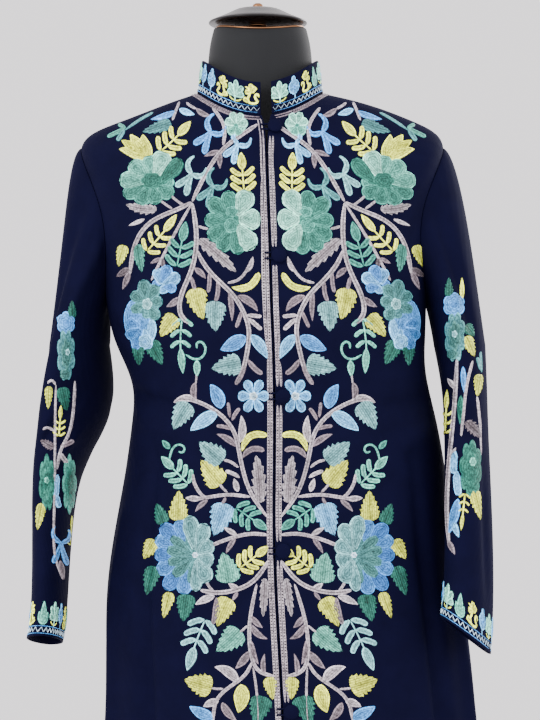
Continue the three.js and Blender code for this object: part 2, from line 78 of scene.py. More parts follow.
def photo_pixel(points: Array) -> tuple[Array, Array]:
    """The photograph's pixel of points: a pinhole projection from the camera.

    Args:
        points: places, (..., 3).
    Returns:
        The pixel columns and rows.
    """
    scale = -PIXELS_PER_MM * CAMERA[1] / (points[..., 1] - CAMERA[1])
    across = PHOTO_WIDTH / 2 + (points[..., 0] - CAMERA[0]) * scale
    down = PHOTO_HEIGHT / 2 - (points[..., 2] - CAMERA[2]) * scale
    return across, down


def spline(rows: Array, place: Array) -> Array:
    """Table rows at fractional places, on a cubic B-spline that starts and ends on the end rows.

    Args:
        rows: the table, (n, k).
        place: fractional row numbers of any shape.
    Returns:
        The values, place's shape + (k,).
    """
    last = len(rows) - 1
    ends = np.vstack([2 * rows[0] - rows[1], rows, 2 * rows[-1] - rows[-2]])
    i = np.clip(np.floor(place).astype(int), 0, last - 1)
    t = (place - i)[..., None]
    near = (3 * t**3 - 6 * t**2 + 4) * ends[i + 1]
    after = (1 + 3 * t + 3 * t**2 - 3 * t**3) * ends[i + 2]
    return ((1 - t) ** 3 * ends[i] + near + after + t**3 * ends[i + 3]) / 6


def signed_power(value: Array, exponent: Array) -> Array:
    """The power of a number's size, with the number's sign."""
    return np.sign(value) * np.abs(value) ** exponent


def smooth_step(value: Array, low: float, high: float) -> Array:
    """0 below low, 1 above high, and a smooth cubic step between."""
    t = np.clip((value - low) / (high - low), 0, 1)
    return t * t * (3 - 2 * t)


def running_length(points: Array, axis: int = 0) -> Array:
    """The length from the first point to each one, along an axis of a grid of points."""
    steps = np.linalg.norm(np.diff(points, axis=axis), axis=-1)
    return np.insert(np.cumsum(steps, axis=axis), 0, 0.0, axis=axis)


def sideways(route: Array) -> Array:
    """The unit vectors a quarter turn from a flat route's tangents, (n, 2)."""
    tangent = np.gradient(route, axis=0)
    tangent /= np.maximum(np.linalg.norm(tangent, axis=1, keepdims=True), 1e-9)
    return np.stack([-tangent[:, 1], tangent[:, 0]], axis=1)


def heading(way: Array) -> tuple[float, Array, Array]:
    """A flat vector's length, its direction, and the direction a quarter turn from it."""
    length = max(float(np.linalg.norm(way)), 1e-9)
    return length, way / length, np.array([-way[1], way[0]]) / length


def turn_angles(count: int) -> Array:
    """Equally spaced angles once round, from 0."""
    return np.linspace(0, 2 * np.pi, count, endpoint=False)


def oval(angles: Array, x: float, half: Array, front: Array, back: Array, z: Array) -> Array:
    """Rings round (x, 0) with their own depth at the front, where the angle is 0, and back."""
    s, c = np.sin(angles), np.cos(angles)
    return np.stack(np.broadcast_arrays(x + half * s, -np.where(c > 0, front, back) * c, z), axis=-1)


# Cloth surfaces


@dataclass(frozen=True)
class Crease:
    """A soft trough or ridge along a line on a surface.

    u is an angle in degrees on the body and a share of a turn on a sleeve; z is a height.
    deep is below 0 for a trough, and wide is its half width.
    """

    u0: float
    z0: float
    u1: float
    z1: float
    wide: float
    deep: float

    def push(self, u: Array, z: Array, unit: float) -> Array:
        """How far the crease moves the cloth out: a bell across it that fades at its ends.

        Args:
            u: the surface's first parameter, in the crease's unit.
            z: the heights of the same points.
            unit: the length of one unit of u.
        Returns:
            The distances, of u's shape.
        """
        line = np.array([(self.u1 - self.u0) * unit, self.z1 - self.z0])
        x, y = (u - self.u0) * unit, z - self.z0
        t = np.clip((x * line[0] + y * line[1]) / (line @ line), 0, 1)
        away = (x - t * line[0]) ** 2 + (y - t * line[1]) ** 2
        return self.deep * np.exp(-away / self.wide**2) * np.sin(np.pi * np.clip(t, 0.04, 0.96)) ** 0.6


class Surface:
    """A cloth surface: a function of two parameters, with its outward normal."""

    outward: float = 1.0
    u_step: float = 1e-3
    v_step: float = 1e-3
    rows: Array

    @property
    def last(self) -> float:
        """The second parameter at the table's last row, which is the hem."""
        return float(len(self.rows) - 1)

    def point(self, u: Array, v: Array) -> Array:
        """The surface's points, of u's shape + (3,)."""
        raise NotImplementedError

    def normal(self, u: Array, v: Array) -> Array:
        """The unit normals: the cross product of the two tangents, from central differences."""
        along_u = self.point(u + self.u_step, v) - self.point(u - self.u_step, v)
        along_v = self.point(u, v + self.v_step) - self.point(u, v - self.v_step)
        normal = self.outward * np.cross(along_v, along_u)
        return normal / np.maximum(np.linalg.norm(normal, axis=-1, keepdims=True), 1e-12)

    def raised(self, u: Array, v: Array, lift: Array) -> Array:
        """Points moved out along the normal by a distance."""
        return self.point(u, v) + self.normal(u, v) * np.asarray(lift)[..., None]


@dataclass
class BodyCloth(Surface):
    """The coat's body: closed rings from the neck seam down to the hem.

    u is the angle, 0 at the front and a quarter turn at the left side, and v the place
    between the table's rows. Each ring is a superellipse whose height changes with the
    square of the angle's cosine, because the yoke climbs over the shoulders.
    """

    hem_z: float = 320.0
    shoulder_row: int = 5
    armpit_row: int = 9
    armhole_front: float = 26.0
    armhole_back: float = 21.0
    armhole_round: float = 0.6
    closure_gap: float = 1.2
    closure_gap_at_neck: float = 10.0
    closure_gap_fall: float = 0.55
    # front_z, side_z, back_z, mid_x, half_width, front, back, closure_x, square
    rows: Array = field(default_factory=lambda: np.array([
        [1371, 1403, 1413, -2, 69, 74, 62, 4.9, 2.0],
        [1350, 1395, 1398, 4, 100, 84, 74, 5.2, 2.05],
        [1325, 1384, 1375, 7, 131, 97, 86, 5.6, 2.1],
        [1300, 1372, 1348, 6, 161, 107, 96, 6.2, 2.1],
        [1280, 1362, 1327, 3, 186, 114, 102, 7.0, 2.1],
        [1260, 1347, 1306, 0, 201, 120, 107, 7.7, 2.15],
        [1241, 1315, 1283, 0, 195, 125, 110, 8.5, 2.3],
        [1221, 1277, 1253, 0, 185, 130, 111, 9.0, 2.4],
        [1194, 1220, 1210, 2, 178, 135, 110, 9.7, 2.4],
        [1163, 1168, 1167, 5, 174, 139, 106, 10.6, 2.35],
        [1134, 1134, 1134, 8, 170, 139, 102, 12.0, 2.3],
        [1108, 1108, 1108, 14, 163, 134, 98, 12.8, 2.2],
        [1079, 1079, 1079, 22, 160, 127, 94, 13.4, 2.2],
        [1042, 1042, 1042, 25, 167, 122, 93, 13.6, 2.2],
        [989, 989, 989, 26, 175, 120, 96, 13.2, 2.15],
        [930, 930, 930, 24, 184, 122, 104, 12.6, 2.1],
        [858, 858, 858, 24, 194, 127, 114, 15.5, 2.1],
        [779, 779, 779, 30, 197, 132, 120, 20.5, 2.1],
        [700, 700, 700, 33, 200, 136, 125, 24.0, 2.1],
        [600, 600, 600, 33, 209, 142, 132, 26.0, 2.05],
        [460, 460, 460, 31, 223, 151, 142, 27.0, 2.0],
        [320, 320, 320, 29, 236, 159, 151, 28.0, 2.0],
    ], dtype=float))
    # Upright folds of the skirt: angle, half width, depth at the hem, height where it starts
    skirt_folds: Sequence[tuple[float, float, float, float]] = (
        (34, 22, 6, 700), (64, 26, 11, 840), (97, 24, 10, 1000), (128, 26, 13, 1010),
        (163, 28, 11, 960), (-164, 24, 13, 1020), (-131, 28, 10, 950), (-98, 24, 12, 990),
        (-68, 26, 11, 930), (-36, 22, 6, 680),
    )
    creases: Sequence[Crease] = (
        Crease(-64, 1172, -40, 1216, 8, -4.5), Crease(-72, 1148, -44, 1118, 9, -5.0),
        Crease(66, 1170, 42, 1206, 8, -3.6), Crease(72, 1142, 50, 1108, 9, -4.2),
        Crease(-78, 1078, -34, 1060, 8, -4.5), Crease(-70, 1052, -36, 1030, 10, 3.6),
        Crease(74, 1076, 36, 1060, 9, -4.2), Crease(70, 1046, 44, 1022, 9, 3.1),
        Crease(-52, 1010, -46, 400, 10, -9.5), Crease(-73, 940, -67, 325, 11, 8.0),
        Crease(-31, 820, -29, 325, 13, -3.6), Crease(50, 1010, 55, 380, 10, -9.5),
        Crease(72, 940, 69, 325, 11, 8.0), Crease(28, 780, 30, 325, 13, -3.4),
        Crease(152, 1094, 176, 1070, 9, -4.5), Crease(-150, 1086, -174, 1062, 9, -5.0),
        Crease(118, 1138, 142, 1184, 9, -3.6), Crease(-120, 1140, -144, 1190, 9, -4.2),
        Crease(142, 1000, 148, 330, 17, -8.4), Crease(-146, 985, -152, 325, 16, -8.4),
        Crease(172, 930, 176, 325, 15, -6.3), Crease(110, 985, 106, 335, 16, -7.0),
        Crease(-110, 965, -105, 330, 17, -7.7),
    )
    radius: float = 165.0  # a rough radius that turns a crease's angle into a length

    def ring(self, place: Array) -> Array:
        """The ring's values at places, place's shape + (9,)."""
        return spline(self.rows, np.asarray(place, float))

    def plain(self, u: Array, v: Array) -> Array:
        """The surface without its creases, as the solids have it."""
        ring = self.ring(v)
        s, c = np.sin(u), np.cos(u)
        across = ring[..., 4] * signed_power(s, 2 / ring[..., 8])
        deep = -np.where(c > 0, ring[..., 5], ring[..., 6]) * signed_power(c, 2 / ring[..., 8])
        z = ring[..., 1] + (np.where(c > 0, ring[..., 0], ring[..., 2]) - ring[..., 1]) * c * c
        fold = np.zeros_like(z)
        for angle, wide, depth, top in self.skirt_folds:
            away = np.abs(np.mod(u - math.radians(angle) + np.pi, 2 * np.pi) - np.pi)
            bell = 0.5 + 0.5 * np.cos(np.pi * np.minimum(away / math.radians(wide), 1))
            fold += depth * np.clip((top - z) / (top - self.hem_z), 0, 1) * bell
        stretch = 1 + fold / np.hypot(across, deep)
        return np.stack([ring[..., 3] + across * stretch, deep * stretch, z], axis=-1)

    def point(self, u: Array, v: Array) -> Array:
        """The surface with its creases, which push it straight away from the ring's middle."""
        u, v = np.broadcast_arrays(np.asarray(u, float), np.asarray(v, float))
        points = self.plain(u, v)
        degrees = np.degrees(np.mod(u + np.pi, 2 * np.pi) - np.pi)
        push = np.zeros(u.shape)
        for crease in self.creases:
            turned = degrees + np.where(degrees - crease.u0 > 180, -360, 0)
            turned = turned + np.where(turned - crease.u0 < -180, 360, 0)
            push += crease.push(turned, points[..., 2], math.radians(self.radius))
        out = points[..., :2] - np.stack([self.ring(v)[..., 3], np.zeros(u.shape)], axis=-1)
        out /= np.maximum(np.linalg.norm(out, axis=-1, keepdims=True), 1e-9)
        points[..., :2] += out * push[..., None]
        return points

    def angle_at_x(self, x: Array, place: Array) -> Array:
        """The ring angle of the point at an X: the inverse of the superellipse's X."""
        ring = self.ring(place)
        share = (x - ring[..., 3]) / ring[..., 4]
        return np.arcsin(np.clip(signed_power(share, ring[..., 8] / 2), -1, 1))

    def closure(self, side: int, place: Array) -> Array:
        """The angle of a front's closing edge. side is 1 on the left front."""
        place = np.asarray(place, float)
        gap = self.closure_gap + (self.closure_gap_at_neck - self.closure_gap) * np.exp(
            -place / self.closure_gap_fall)
        return self.angle_at_x(self.ring(place)[..., 7] + side * gap / 2, place)

    def speed(self, angle: Array, place: Array) -> Array:
        """The length of ring for each radian."""
        step = self.plain(angle + 1e-3, place) - self.plain(angle - 1e-3, place)
        return np.linalg.norm(step, axis=-1) / 2e-3

    def side_edge(self, place: Array, depth: float) -> Array:
        """The angle where a panel stops: a quarter turn, less in the armhole."""
        down = np.clip((place - self.shoulder_row) / (self.armpit_row - self.shoulder_row), 0, 1)
        return np.pi / 2 - math.radians(depth) * np.sin(np.pi * down) ** self.armhole_round

    def front_edge(self, side: int, place: Array) -> Array:
        """The angle of a front's side edge."""
        return side * self.side_edge(place, self.armhole_front)

    def back_edge(self, side: int, place: Array) -> Array:
        """The angle of the back's side edge."""
        return side * (np.pi - self.side_edge(place, self.armhole_back))

    def armhole_place(self, share: Array) -> Array:
        """The place at a share of the way down the armhole, eased towards its two ends."""
        eased = 0.6 * (0.5 - 0.5 * np.cos(np.pi * share)) + 0.4 * share
        return self.shoulder_row + (self.armpit_row - self.shoulder_row) * eased


@dataclass
class SleeveCloth(Surface):
    """A set-in sleeve: from the armhole's curve it blends into ellipses down to the cuff.

    u is the share of a turn, 0 at the shoulder tip, and goes over the front to 0.5 at the
    armpit. v is below 0 between the armhole and the upper arm, on a Hermite curve, and then
    counts the table's rows.
    """

    body: BodyCloth
    side: int
    # z, out, y, half_in, half_deep, turn, inner_rise, front_rise
    rows: Array
    creases: Sequence[Crease]
    seam_gap: float = 0.4
    leaves_top: tuple[float, float, float] = (0.92, 0.0, -0.39)
    leaves_under: tuple[float, float, float] = (0.5, 0.0, -0.87)
    arrives: tuple[float, float, float] = (0.15, 0.0, -1.0)
    leave_pull: float = 0.3
    arrive_pull: float = 0.9
    girth: float = 270.0  # a rough girth that turns a crease's share of a turn into a length
    flatness: float = 1.5  # how much more a crease pushes outwards than forwards

    def __post_init__(self) -> None:
        """Sets the side that the normal points to."""
        self.outward = -float(self.side)

    def plain(self, u: Array, v: Array) -> Array:
        """The sleeve without its creases."""
        row = spline(self.rows, np.maximum(v, 0))
        z, out, y, half_in, half_deep, turn, inner_rise, front_rise = np.moveaxis(row, -1, 0)
        outwards = half_in * np.cos(2 * np.pi * u)
        forwards = half_deep * np.sin(2 * np.pi * u)
        swing = np.radians(turn)
        ring = np.stack([
            self.side * (out + outwards * np.cos(swing) + forwards * np.sin(swing)),
            y - forwards * np.cos(swing) + outwards * np.sin(swing),
            z - inner_rise * outwards / half_in + front_rise * forwards / half_deep,
        ], axis=-1)
        whole = np.mod(u, 1)
        half = 1 - np.abs(1 - 2 * whole)
        place = self.body.armhole_place(half)
        edge = np.where(whole < 0.5, self.body.front_edge(self.side, place),
                        self.body.back_edge(self.side, place))
        mirror = np.array([self.side, 1, 1])
        share = half[..., None]
        leaves = (np.array(self.leaves_top) * (1 - share) + np.array(self.leaves_under) * share) * mirror
        start = self.body.plain(edge, place) + leaves * self.seam_gap
        reach = np.linalg.norm(ring - start, axis=-1, keepdims=True)
        t = np.clip(1 + v, 0, 1)[..., None]
        cap = (2 * t**3 - 3 * t**2 + 1) * start + (t**3 - 2 * t**2 + t) * self.leave_pull * reach * leaves
        cap += (3 * t**2 - 2 * t**3) * ring
        cap += (t**3 - t**2) * self.arrive_pull * reach * np.array(self.arrives) * mirror
        return np.where((v >= 0)[..., None], ring, cap)

    def point(self, u: Array, v: Array) -> Array:
        """The sleeve with its creases, which push it away from the arm's middle line."""
        u, v = np.broadcast_arrays(np.asarray(u, float), np.asarray(v, float))
        points = self.plain(u, v)
        push = np.zeros(u.shape)
        for crease in self.creases:
            push += crease.push(np.mod(u, 1), points[..., 2], self.girth)
        fade = smooth_step(v, -1.0, -0.75)
        swing = np.radians(spline(self.rows, np.maximum(v, 0))[..., 5])
        outwards, forwards = np.cos(2 * np.pi * u) * self.flatness, np.sin(2 * np.pi * u)
        out = np.stack([
            self.side * (outwards * np.cos(swing) + forwards * np.sin(swing)),
            -forwards * np.cos(swing) + outwards * np.sin(swing),
        ], axis=-1)
        out /= np.linalg.norm(out, axis=-1, keepdims=True)
        points[..., :2] += out * (push * fade)[..., None]
        return points


@dataclass
class CollarCloth(Surface):
    """The standing collar: the neck seam's ring carried up, and leaning in by a share.

    u is the ring angle and v the share of its height.
    """

    body: BodyCloth
    height: float = 35.5
    lean: float = 0.077
    seam_gap: float = 0.4
    open: float = 12.1
    outward: float = -1.0

    def point(self, u: Array, v: Array) -> Array:
        """Foot point of the ring, scaled towards its middle and lifted by the height."""
        u, v = np.broadcast_arrays(np.asarray(u, float), np.asarray(v, float))
        foot = self.body.plain(u, np.zeros(u.shape))
        middle = self.body.rows[0, 3]
        share = 1 - self.lean * v
        z = foot[..., 2] + self.seam_gap + self.height * v
        return np.stack([middle + (foot[..., 0] - middle) * share, foot[..., 1] * share, z], axis=-1)

    def ends(self) -> tuple[float, float]:
        """The angles of its left and right ends, the second one a whole turn further."""
        x = self.body.rows[0, 7]
        left, right = (float(self.body.angle_at_x(np.array(x + s * self.open / 2), np.array(0.0)))
                       for s in (1, -1))
        return left, right + 2 * np.pi


# Meshes


def grid_faces(rows: int, columns: int, start: int = 0, wrap: bool = False, flip: bool = False) -> Array:
    """The quads of a grid of points, numbered row by row.

    Args:
        rows: the number of rows of points.
        columns: the number of points in a row.
        start: the number of the first point.
        wrap: whether the last column joins the first.
        flip: whether the faces turn the other way.
    Returns:
        Point numbers, (faces, 4).
    """
    i, j = np.meshgrid(np.arange(rows - 1), np.arange(columns if wrap else columns - 1), indexing="ij")
    right = (j + 1) % columns
    quads = np.stack([i * columns + j, (i + 1) * columns + j, (i + 1) * columns + right,
                      i * columns + right], axis=-1).reshape(-1, 4) + start
    return quads[:, ::-1] if flip else quads


def mesh_piece(name: str, points: Array, faces: Sequence[Array], material: Material,
               uv: Optional[Array] = None, attributes: Optional[dict[str, Array]] = None) -> Piece:
    """A smooth-shaded mesh object from millimetre points.

    Args:
        name: the piece's name.
        points: (n, 3).
        faces: arrays of quads or triangles.
        material: its finish.
        uv: one pair of millimetres for each point, kept in metres as the UV map.
        attributes: named colours (n, 4) or vectors (n, 3) of the points.
    Returns:
        The object, which stays at the origin.
    """
    mesh = bpy.data.meshes.new(name)
    corners = np.concatenate([f.ravel() for f in faces]).astype(np.int32)
    sizes = np.concatenate([np.full(len(f), f.shape[1]) for f in faces])
    mesh.vertices.add(len(points))
    mesh.loops.add(len(corners))
    mesh.polygons.add(len(sizes))
    mesh.vertices.foreach_set("co", (points * MM).astype(np.float32).ravel())
    mesh.loops.foreach_set("vertex_index", corners)
    mesh.polygons.foreach_set("loop_start", (np.cumsum(sizes) - sizes).astype(np.int32))
    mesh.polygons.foreach_set("use_smooth", np.ones(len(sizes), bool))
    mesh.update(calc_edges=True)
    if uv is not None:
        layer = mesh.uv_layers.new(name="cloth")
        layer.data.foreach_set("uv", (uv[corners] * MM).astype(np.float32).ravel())
    for key, values in (attributes or {}).items():
        kind, slot = ("FLOAT_COLOR", "color") if values.shape[1] == 4 else ("FLOAT_VECTOR", "vector")
        layer = mesh.attributes.new(key, kind, "POINT")
        layer.data.foreach_set(slot, values.astype(np.float32).ravel())
    mesh.materials.append(material)
    mesh.validate()
    return in_scene(name, mesh)


def in_scene(name: str, data: bpy.types.ID) -> Piece:
    """A new object of the scene that holds a mesh, a light or a camera."""
    piece = bpy.data.objects.new(name, data)
    bpy.context.scene.collection.objects.link(piece)
    return piece


def settle(piece: Piece, slot: str, *nodes: str) -> Piece:
    """Rides a piece on the object's one body, and hides the nodes that it replaces."""
    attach(piece, "root")
    if nodes:
        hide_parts(*nodes)
    return piece


def soften(piece: Piece, width: float, segments: int = 2, angle: float = 50) -> None:
    """Rounds a piece's sharp edges with a bevel of a width in millimetres."""
    bevel = piece.modifiers.new("rounded", "BEVEL")
    bevel.width = width * MM
    bevel.segments = segments
    bevel.limit_method = "ANGLE"
    bevel.angle_limit = math.radians(angle)
    bevel.harden_normals = False


def cloth_wall(name: str, surface: Surface, u: Array, v: Array, thick: float, material: Material,
               wrap: bool = False) -> Piece:
    """A closed thin wall of cloth: the surface's grid, and the same grid moved in.

    Args:
        name: the piece's name.
        surface: the outer side.
        u, v: the grid's parameters, (rows, columns).
        thick: the wall.
        material: the cloth.
        wrap: whether it is a tube.
    Returns:
        The piece, with a UV map in true lengths: round the ring, and down.
    """
    rows, columns = u.shape
    n = rows * columns
    outer = surface.point(u, v)
    inner = surface.raised(u, v, np.full(u.shape, -thick))
    flip = surface.outward < 0
    faces = [grid_faces(rows, columns, 0, wrap, flip), grid_faces(rows, columns, n, wrap, not flip)]
    j = np.arange(columns if wrap else columns - 1)
    after = (j + 1) % columns
    rims = [(j, after, flip), (n - columns + j, n - columns + after, not flip)]
    if not wrap:
        i = np.arange(rows - 1) * columns
        rims += [(i, i + columns, not flip), (i + columns - 1, i + 2 * columns - 1, flip)]
    for first, second, turn in rims:
        rim = np.stack([first, second, n + second, n + first], axis=-1)
        faces.append(rim[:, ::-1] if turn else rim)
    across = running_length(outer, 1)
    across -= across[:, columns // 2, None]
    uv = np.stack([across, -running_length(outer)], axis=-1).reshape(-1, 2)
    points = np.concatenate([outer, inner]).reshape(-1, 3)
    return mesh_piece(name, points, faces, material, np.concatenate([uv, uv]))


def closed_tube(name: str, rings: Array, ends: Sequence[Sequence[float]], material: Material,
                uv: Optional[Array] = None, flip: bool = True) -> Piece:
    """A skin over rings of points, closed by a fan of triangles at its two ends.

    Args:
        name: the piece's name.
        rings: (rings, points, 3).
        ends: the middle points of the first and the last ring.
        material: its finish.
        uv: one pair for each point and for both ends.
        flip: whether the faces turn the other way.
    Returns:
        The piece.
    """
    rows, n = rings.shape[:2]
    j = np.arange(n)
    after, top = (j + 1) % n, (rows - 1) * n
    fans = (np.stack([np.full(n, rows * n), after, j], axis=-1),
            np.stack([np.full(n, rows * n + 1), top + j, top + after], axis=-1))
    faces = [grid_faces(rows, n, 0, True, flip), *(fan if flip else fan[:, ::-1] for fan in fans)]
    return mesh_piece(name, np.vstack([rings.reshape(-1, 3), ends]), faces, material, uv)


def lathe(name: str, profile: Knots, material: Material, x: float, segments: int = 96) -> Piece:
    """A solid of revolution: each profile point turned in equal steps round an upright axis.

    Args:
        name: the piece's name.
        profile: pairs of radius and height from the axis at the bottom to the axis at the top.
        material: its finish.
        x: the axis's X.
        segments: the number of steps round.
    Returns:
        The piece, closed by a point on the axis at both ends.
    """
    radius, z = np.array(profile[1:-1], float).T[..., None]
    rings = oval(turn_angles(segments), x, radius, radius, radius, z)
    return closed_tube(name, rings, [(x, 0, profile[0][1]), (x, 0, profile[-1][1])], material)


# Finishes


def linear(hex_colour: str) -> tuple[float, float, float, float]:
    """An sRGB hex colour as linear RGBA: the standard transfer curve, undone."""
    parts = np.array([int(hex_colour[i:i + 2], 16) / 255 for i in (1, 3, 5)])
    lit = np.where(parts <= 0.04045, parts / 12.92, ((parts + 0.055) / 1.055) ** 2.4)
    return (*(float(p) for p in lit), 1.0)


def add(tree: NodeTree, kind: str, links: Optional[dict] = None, values: Optional[dict] = None,
        **settings: object) -> Node:
    """Adds a node.

    Args:
        tree: the material's node tree.
        kind: the node's type.
        links: input name or number to the output socket that feeds it.
        values: input name or number to its value.
        settings: the node's own properties.
    Returns:
        The node.
    """
    node = tree.nodes.new(kind)
    for key, value in settings.items():
        setattr(node, key, value)
    for key, value in (values or {}).items():
        node.inputs[key].default_value = value
    for key, socket in (links or {}).items():
        tree.links.new(socket, node.inputs[key])
    return node


def new_material(name: str, values: dict[str, object]) -> tuple[Material, NodeTree, Node]:
    """A material with one Principled shader whose sockets hold the given values."""
    material = bpy.data.materials.new(name)
    material.use_nodes = True
    shader = material.node_tree.nodes["Principled BSDF"]
    for key, value in values.items():
        shader.inputs[key].default_value = value
    return material, material.node_tree, shader


def maths(tree: NodeTree, operation: str, *terms: object) -> Socket:
    """The output of one Math node, whose terms are sockets or numbers."""
    links = {i: t for i, t in enumerate(terms) if isinstance(t, Socket)}
    values = {i: t for i, t in enumerate(terms) if not isinstance(t, Socket)}
    return add(tree, "ShaderNodeMath", links, values, operation=operation).outputs[0]


def noise(tree: NodeTree, scale: float, detail: float, roughness: float = 0.5) -> Socket:
    """The output of one noise in object coordinates."""
    place = add(tree, "ShaderNodeTexCoord").outputs["Object"]
    values = {"Scale": scale, "Detail": detail, "Roughness": roughness}
    return add(tree, "ShaderNodeTexNoise", {"Vector": place}, values).outputs["Fac"]


def blend(tree: NodeTree, shader: Node, factor: Socket, low: str, high: str) -> None:
    """Colours a shader between two hex colours, by a factor from 0 to 1."""
    ends = {6: linear(low), 7: linear(high)}
    mix = add(tree, "ShaderNodeMix", {"Factor": factor}, ends, data_type="RGBA")
    tree.links.new(mix.outputs[2], shader.inputs["Base Color"])


def emboss(tree: NodeTree, shader: Node, height: Socket, strength: float, distance: float) -> None:
    """Gives a shader a bump, whose distance is the metres that a height of 1 stands for."""
    bump = add(tree, "ShaderNodeBump", {"Height": height}, {"Strength": strength, "Distance": distance})
    tree.links.new(bump.outputs[0], shader.inputs["Normal"])


@dataclass(frozen=True)
class WoolCloth:
    """Fulled navy wool, woven and brushed: a dull face with a soft bloom at grazing light."""

    name: str = "fulled_navy_wool"
    colour: str = "#0f0f2d"
    shade: str = "#0a0a20"
    bloom: str = "#5f68b8"
    rib: float = 13.51  # spacing of the faint slanted ribs
    cloud: float = 27.0  # size of the cloudy patches in the brushed face

    def build(self) -> Material:
        """Two navies mixed by cloudy noise, and a bump of slanted ribs and fibres.

        The wave's phase is 10 scale (x + y), so a rib takes 2 pi / (10 scale) of x + y, and
        that over the root of 2 across the ribs.
        """
        material, tree, shader = new_material(self.name, {
            "Roughness": 0.8, "Specular IOR Level": 0.03, "Sheen Weight": 0.02,
            "Sheen Roughness": 0.4, "Sheen Tint": linear(self.bloom)})
        clouds = noise(tree, scale=1000 / self.cloud, detail=4.0, roughness=0.6)
        blend(tree, shader, clouds, self.shade, self.colour)
        scale = 2 * math.pi / (10 * self.rib * MM * math.sqrt(2))
        uv = add(tree, "ShaderNodeUVMap", uv_map="cloth")
        ribs = add(tree, "ShaderNodeTexWave", {"Vector": uv.outputs[0]},
                   {"Scale": scale, "Distortion": 1.2, "Detail": 1.0, "Detail Scale": 2.0},
                   wave_type="BANDS", bands_direction="DIAGONAL")
        fibres = noise(tree, scale=900.0, detail=2.0)
        height = maths(tree, "MULTIPLY_ADD", fibres, 0.7, ribs.outputs["Fac"])
        emboss(tree, shader, height, strength=0.25, distance=0.0004)
        return material


@dataclass(frozen=True)
class ChainStitch:
    """Rayon thread worked in rows of chain stitch that follow each outline inwards.

    The rows and links have painted highlights on their crowns and painted shade in their gaps; the outline
    row is paler.
    """

    name: str = "chain_stitch_thread"
    row: float = 2.3  # spacing of rows, drawn a little coarser than it is so that it shows
    link: float = 3.4  # length of one stitch
    # The gaps between rows get painted shade: groove is their brightness.
    groove: float = 0.4  # how bright the gaps between rows are
    rim: float = 0.45  # how much brighter the outline row is
    bead: float = 3.0  # spacing of the needle holes down a band or stem
    # Scale, detail and strength of the noise of thread bundles, of fibres and of the dye
    noises: tuple[tuple[float, float, float], ...] = ((400, 2, 2.7), (1000, 1, 1.6), (70, 2, 1.3))

    def build(self) -> Material:
        """Row profile times link profile, from the lengths kept in the stitch attribute.

        The colour is the thread's own times the profiles, which paint shade into the gaps and
        highlight onto the crowns, and times the noises. The outline row is brighter, and the
        attribute's third number says how dark the row of needle holes is.
        """
        material, tree, shader = new_material(self.name, {"Roughness": 0.55, "Specular IOR Level": 0.22})
        m = partial(maths, tree)
        thread = add(tree, "ShaderNodeAttribute", attribute_name="thread_colour")
        stitch = add(tree, "ShaderNodeAttribute", attribute_name="stitch")
        along, inside, holes = add(tree, "ShaderNodeSeparateXYZ", {0: stitch.outputs["Vector"]}).outputs
        rows = m("DIVIDE", inside, self.row)
        number = m("FLOOR", rows)
        within = m("MULTIPLY_ADD", m("FRACT", rows), 2.0, -1.0)
        round_row = m("SUBTRACT", 1.0, m("MULTIPLY", within, within))
        links = m("MULTIPLY_ADD", number, 0.5, m("DIVIDE", along, self.link))
        wave = m("COSINE", m("MULTIPLY", links, 2 * math.pi))
        height = m("MULTIPLY", round_row, m("MULTIPLY_ADD", wave, 0.15, 0.85))
        # The row and link profile is painted into the colour: painted shade between rows and links, painted
        # highlight on their crowns.
        light = m("MULTIPLY_ADD", height, 1.1 - self.groove, self.groove)
        for scale, detail, span in self.noises:
            spread = m("MULTIPLY_ADD", noise(tree, scale, detail, 0.6), span, 1.04 - span / 2)
            light = m("MULTIPLY", light, spread)
        light = m("MULTIPLY", light, m("MULTIPLY_ADD", m("LESS_THAN", number, 0.5), self.rim, 1.0))
        step = m("COSINE", m("MULTIPLY", along, 2 * math.pi / self.bead))
        hole = m("MULTIPLY", m("GREATER_THAN", step, 0.15), m("GREATER_THAN", inside, 0.85))
        light = m("MULTIPLY", light, m("MULTIPLY_ADD", m("MULTIPLY", hole, holes), -1.0, 1.0))
        colour = add(tree, "ShaderNodeVectorMath", {0: thread.outputs["Color"], 1: light},
                     operation="MULTIPLY")
        tree.links.new(colour.outputs[0], shader.inputs["Base Color"])
        emboss(tree, shader, height, strength=0.7, distance=0.0006)
        return material


@dataclass(frozen=True)
class JerseyCover:
    """Black cotton jersey stretched over the form: matt, with a fine even knit."""

    name: str = "stretched_black_jersey"
    colour: str = "#15181b"
    shade: str = "#101215"
    knit: float = 1.4  # loop width, drawn coarser than it is so that it shows

    def build(self) -> Material:
        """One near-black with faint dust, and a bump of small round loops."""
        material, tree, shader = new_material(self.name, {
            "Roughness": 0.75, "Specular IOR Level": 0.3, "Sheen Weight": 0.1, "Sheen Roughness": 0.5})
        blend(tree, shader, noise(tree, scale=60.0, detail=5.0), self.shade, self.colour)
        place = add(tree, "ShaderNodeTexCoord").outputs["Object"]
        loops = add(tree, "ShaderNodeTexVoronoi", {"Vector": place}, {"Scale": 1000 / self.knit})
        emboss(tree, shader, loops.outputs["Distance"], strength=0.2, distance=0.0003)
        return material


@dataclass(frozen=True)
class Metal:
    """A turned, plated or lacquered metal: clear reflections, with fine wear in its roughness."""

    name: str
    colour: str
    roughness: float
    metallic: float = 1.0
    coat: float = 0.0
    specular: float = 0.5

    def build(self) -> Material:
        """One colour whose roughness varies a little with smudges and fine turning marks."""
        material, tree, shader = new_material(self.name, {
            "Base Color": linear(self.colour), "Metallic": self.metallic, "Coat Weight": self.coat,
            "Coat Roughness": 0.08, "Specular IOR Level": self.specular})
        smudges = noise(tree, scale=35.0, detail=4.0)
        rough = maths(tree, "MULTIPLY_ADD", smudges, 0.16, self.roughness - 0.06)
        tree.links.new(rough, shader.inputs["Roughness"])
        marks = noise(tree, scale=700.0, detail=2.0)
        emboss(tree, shader, marks, strength=0.05, distance=0.0001)
        return material


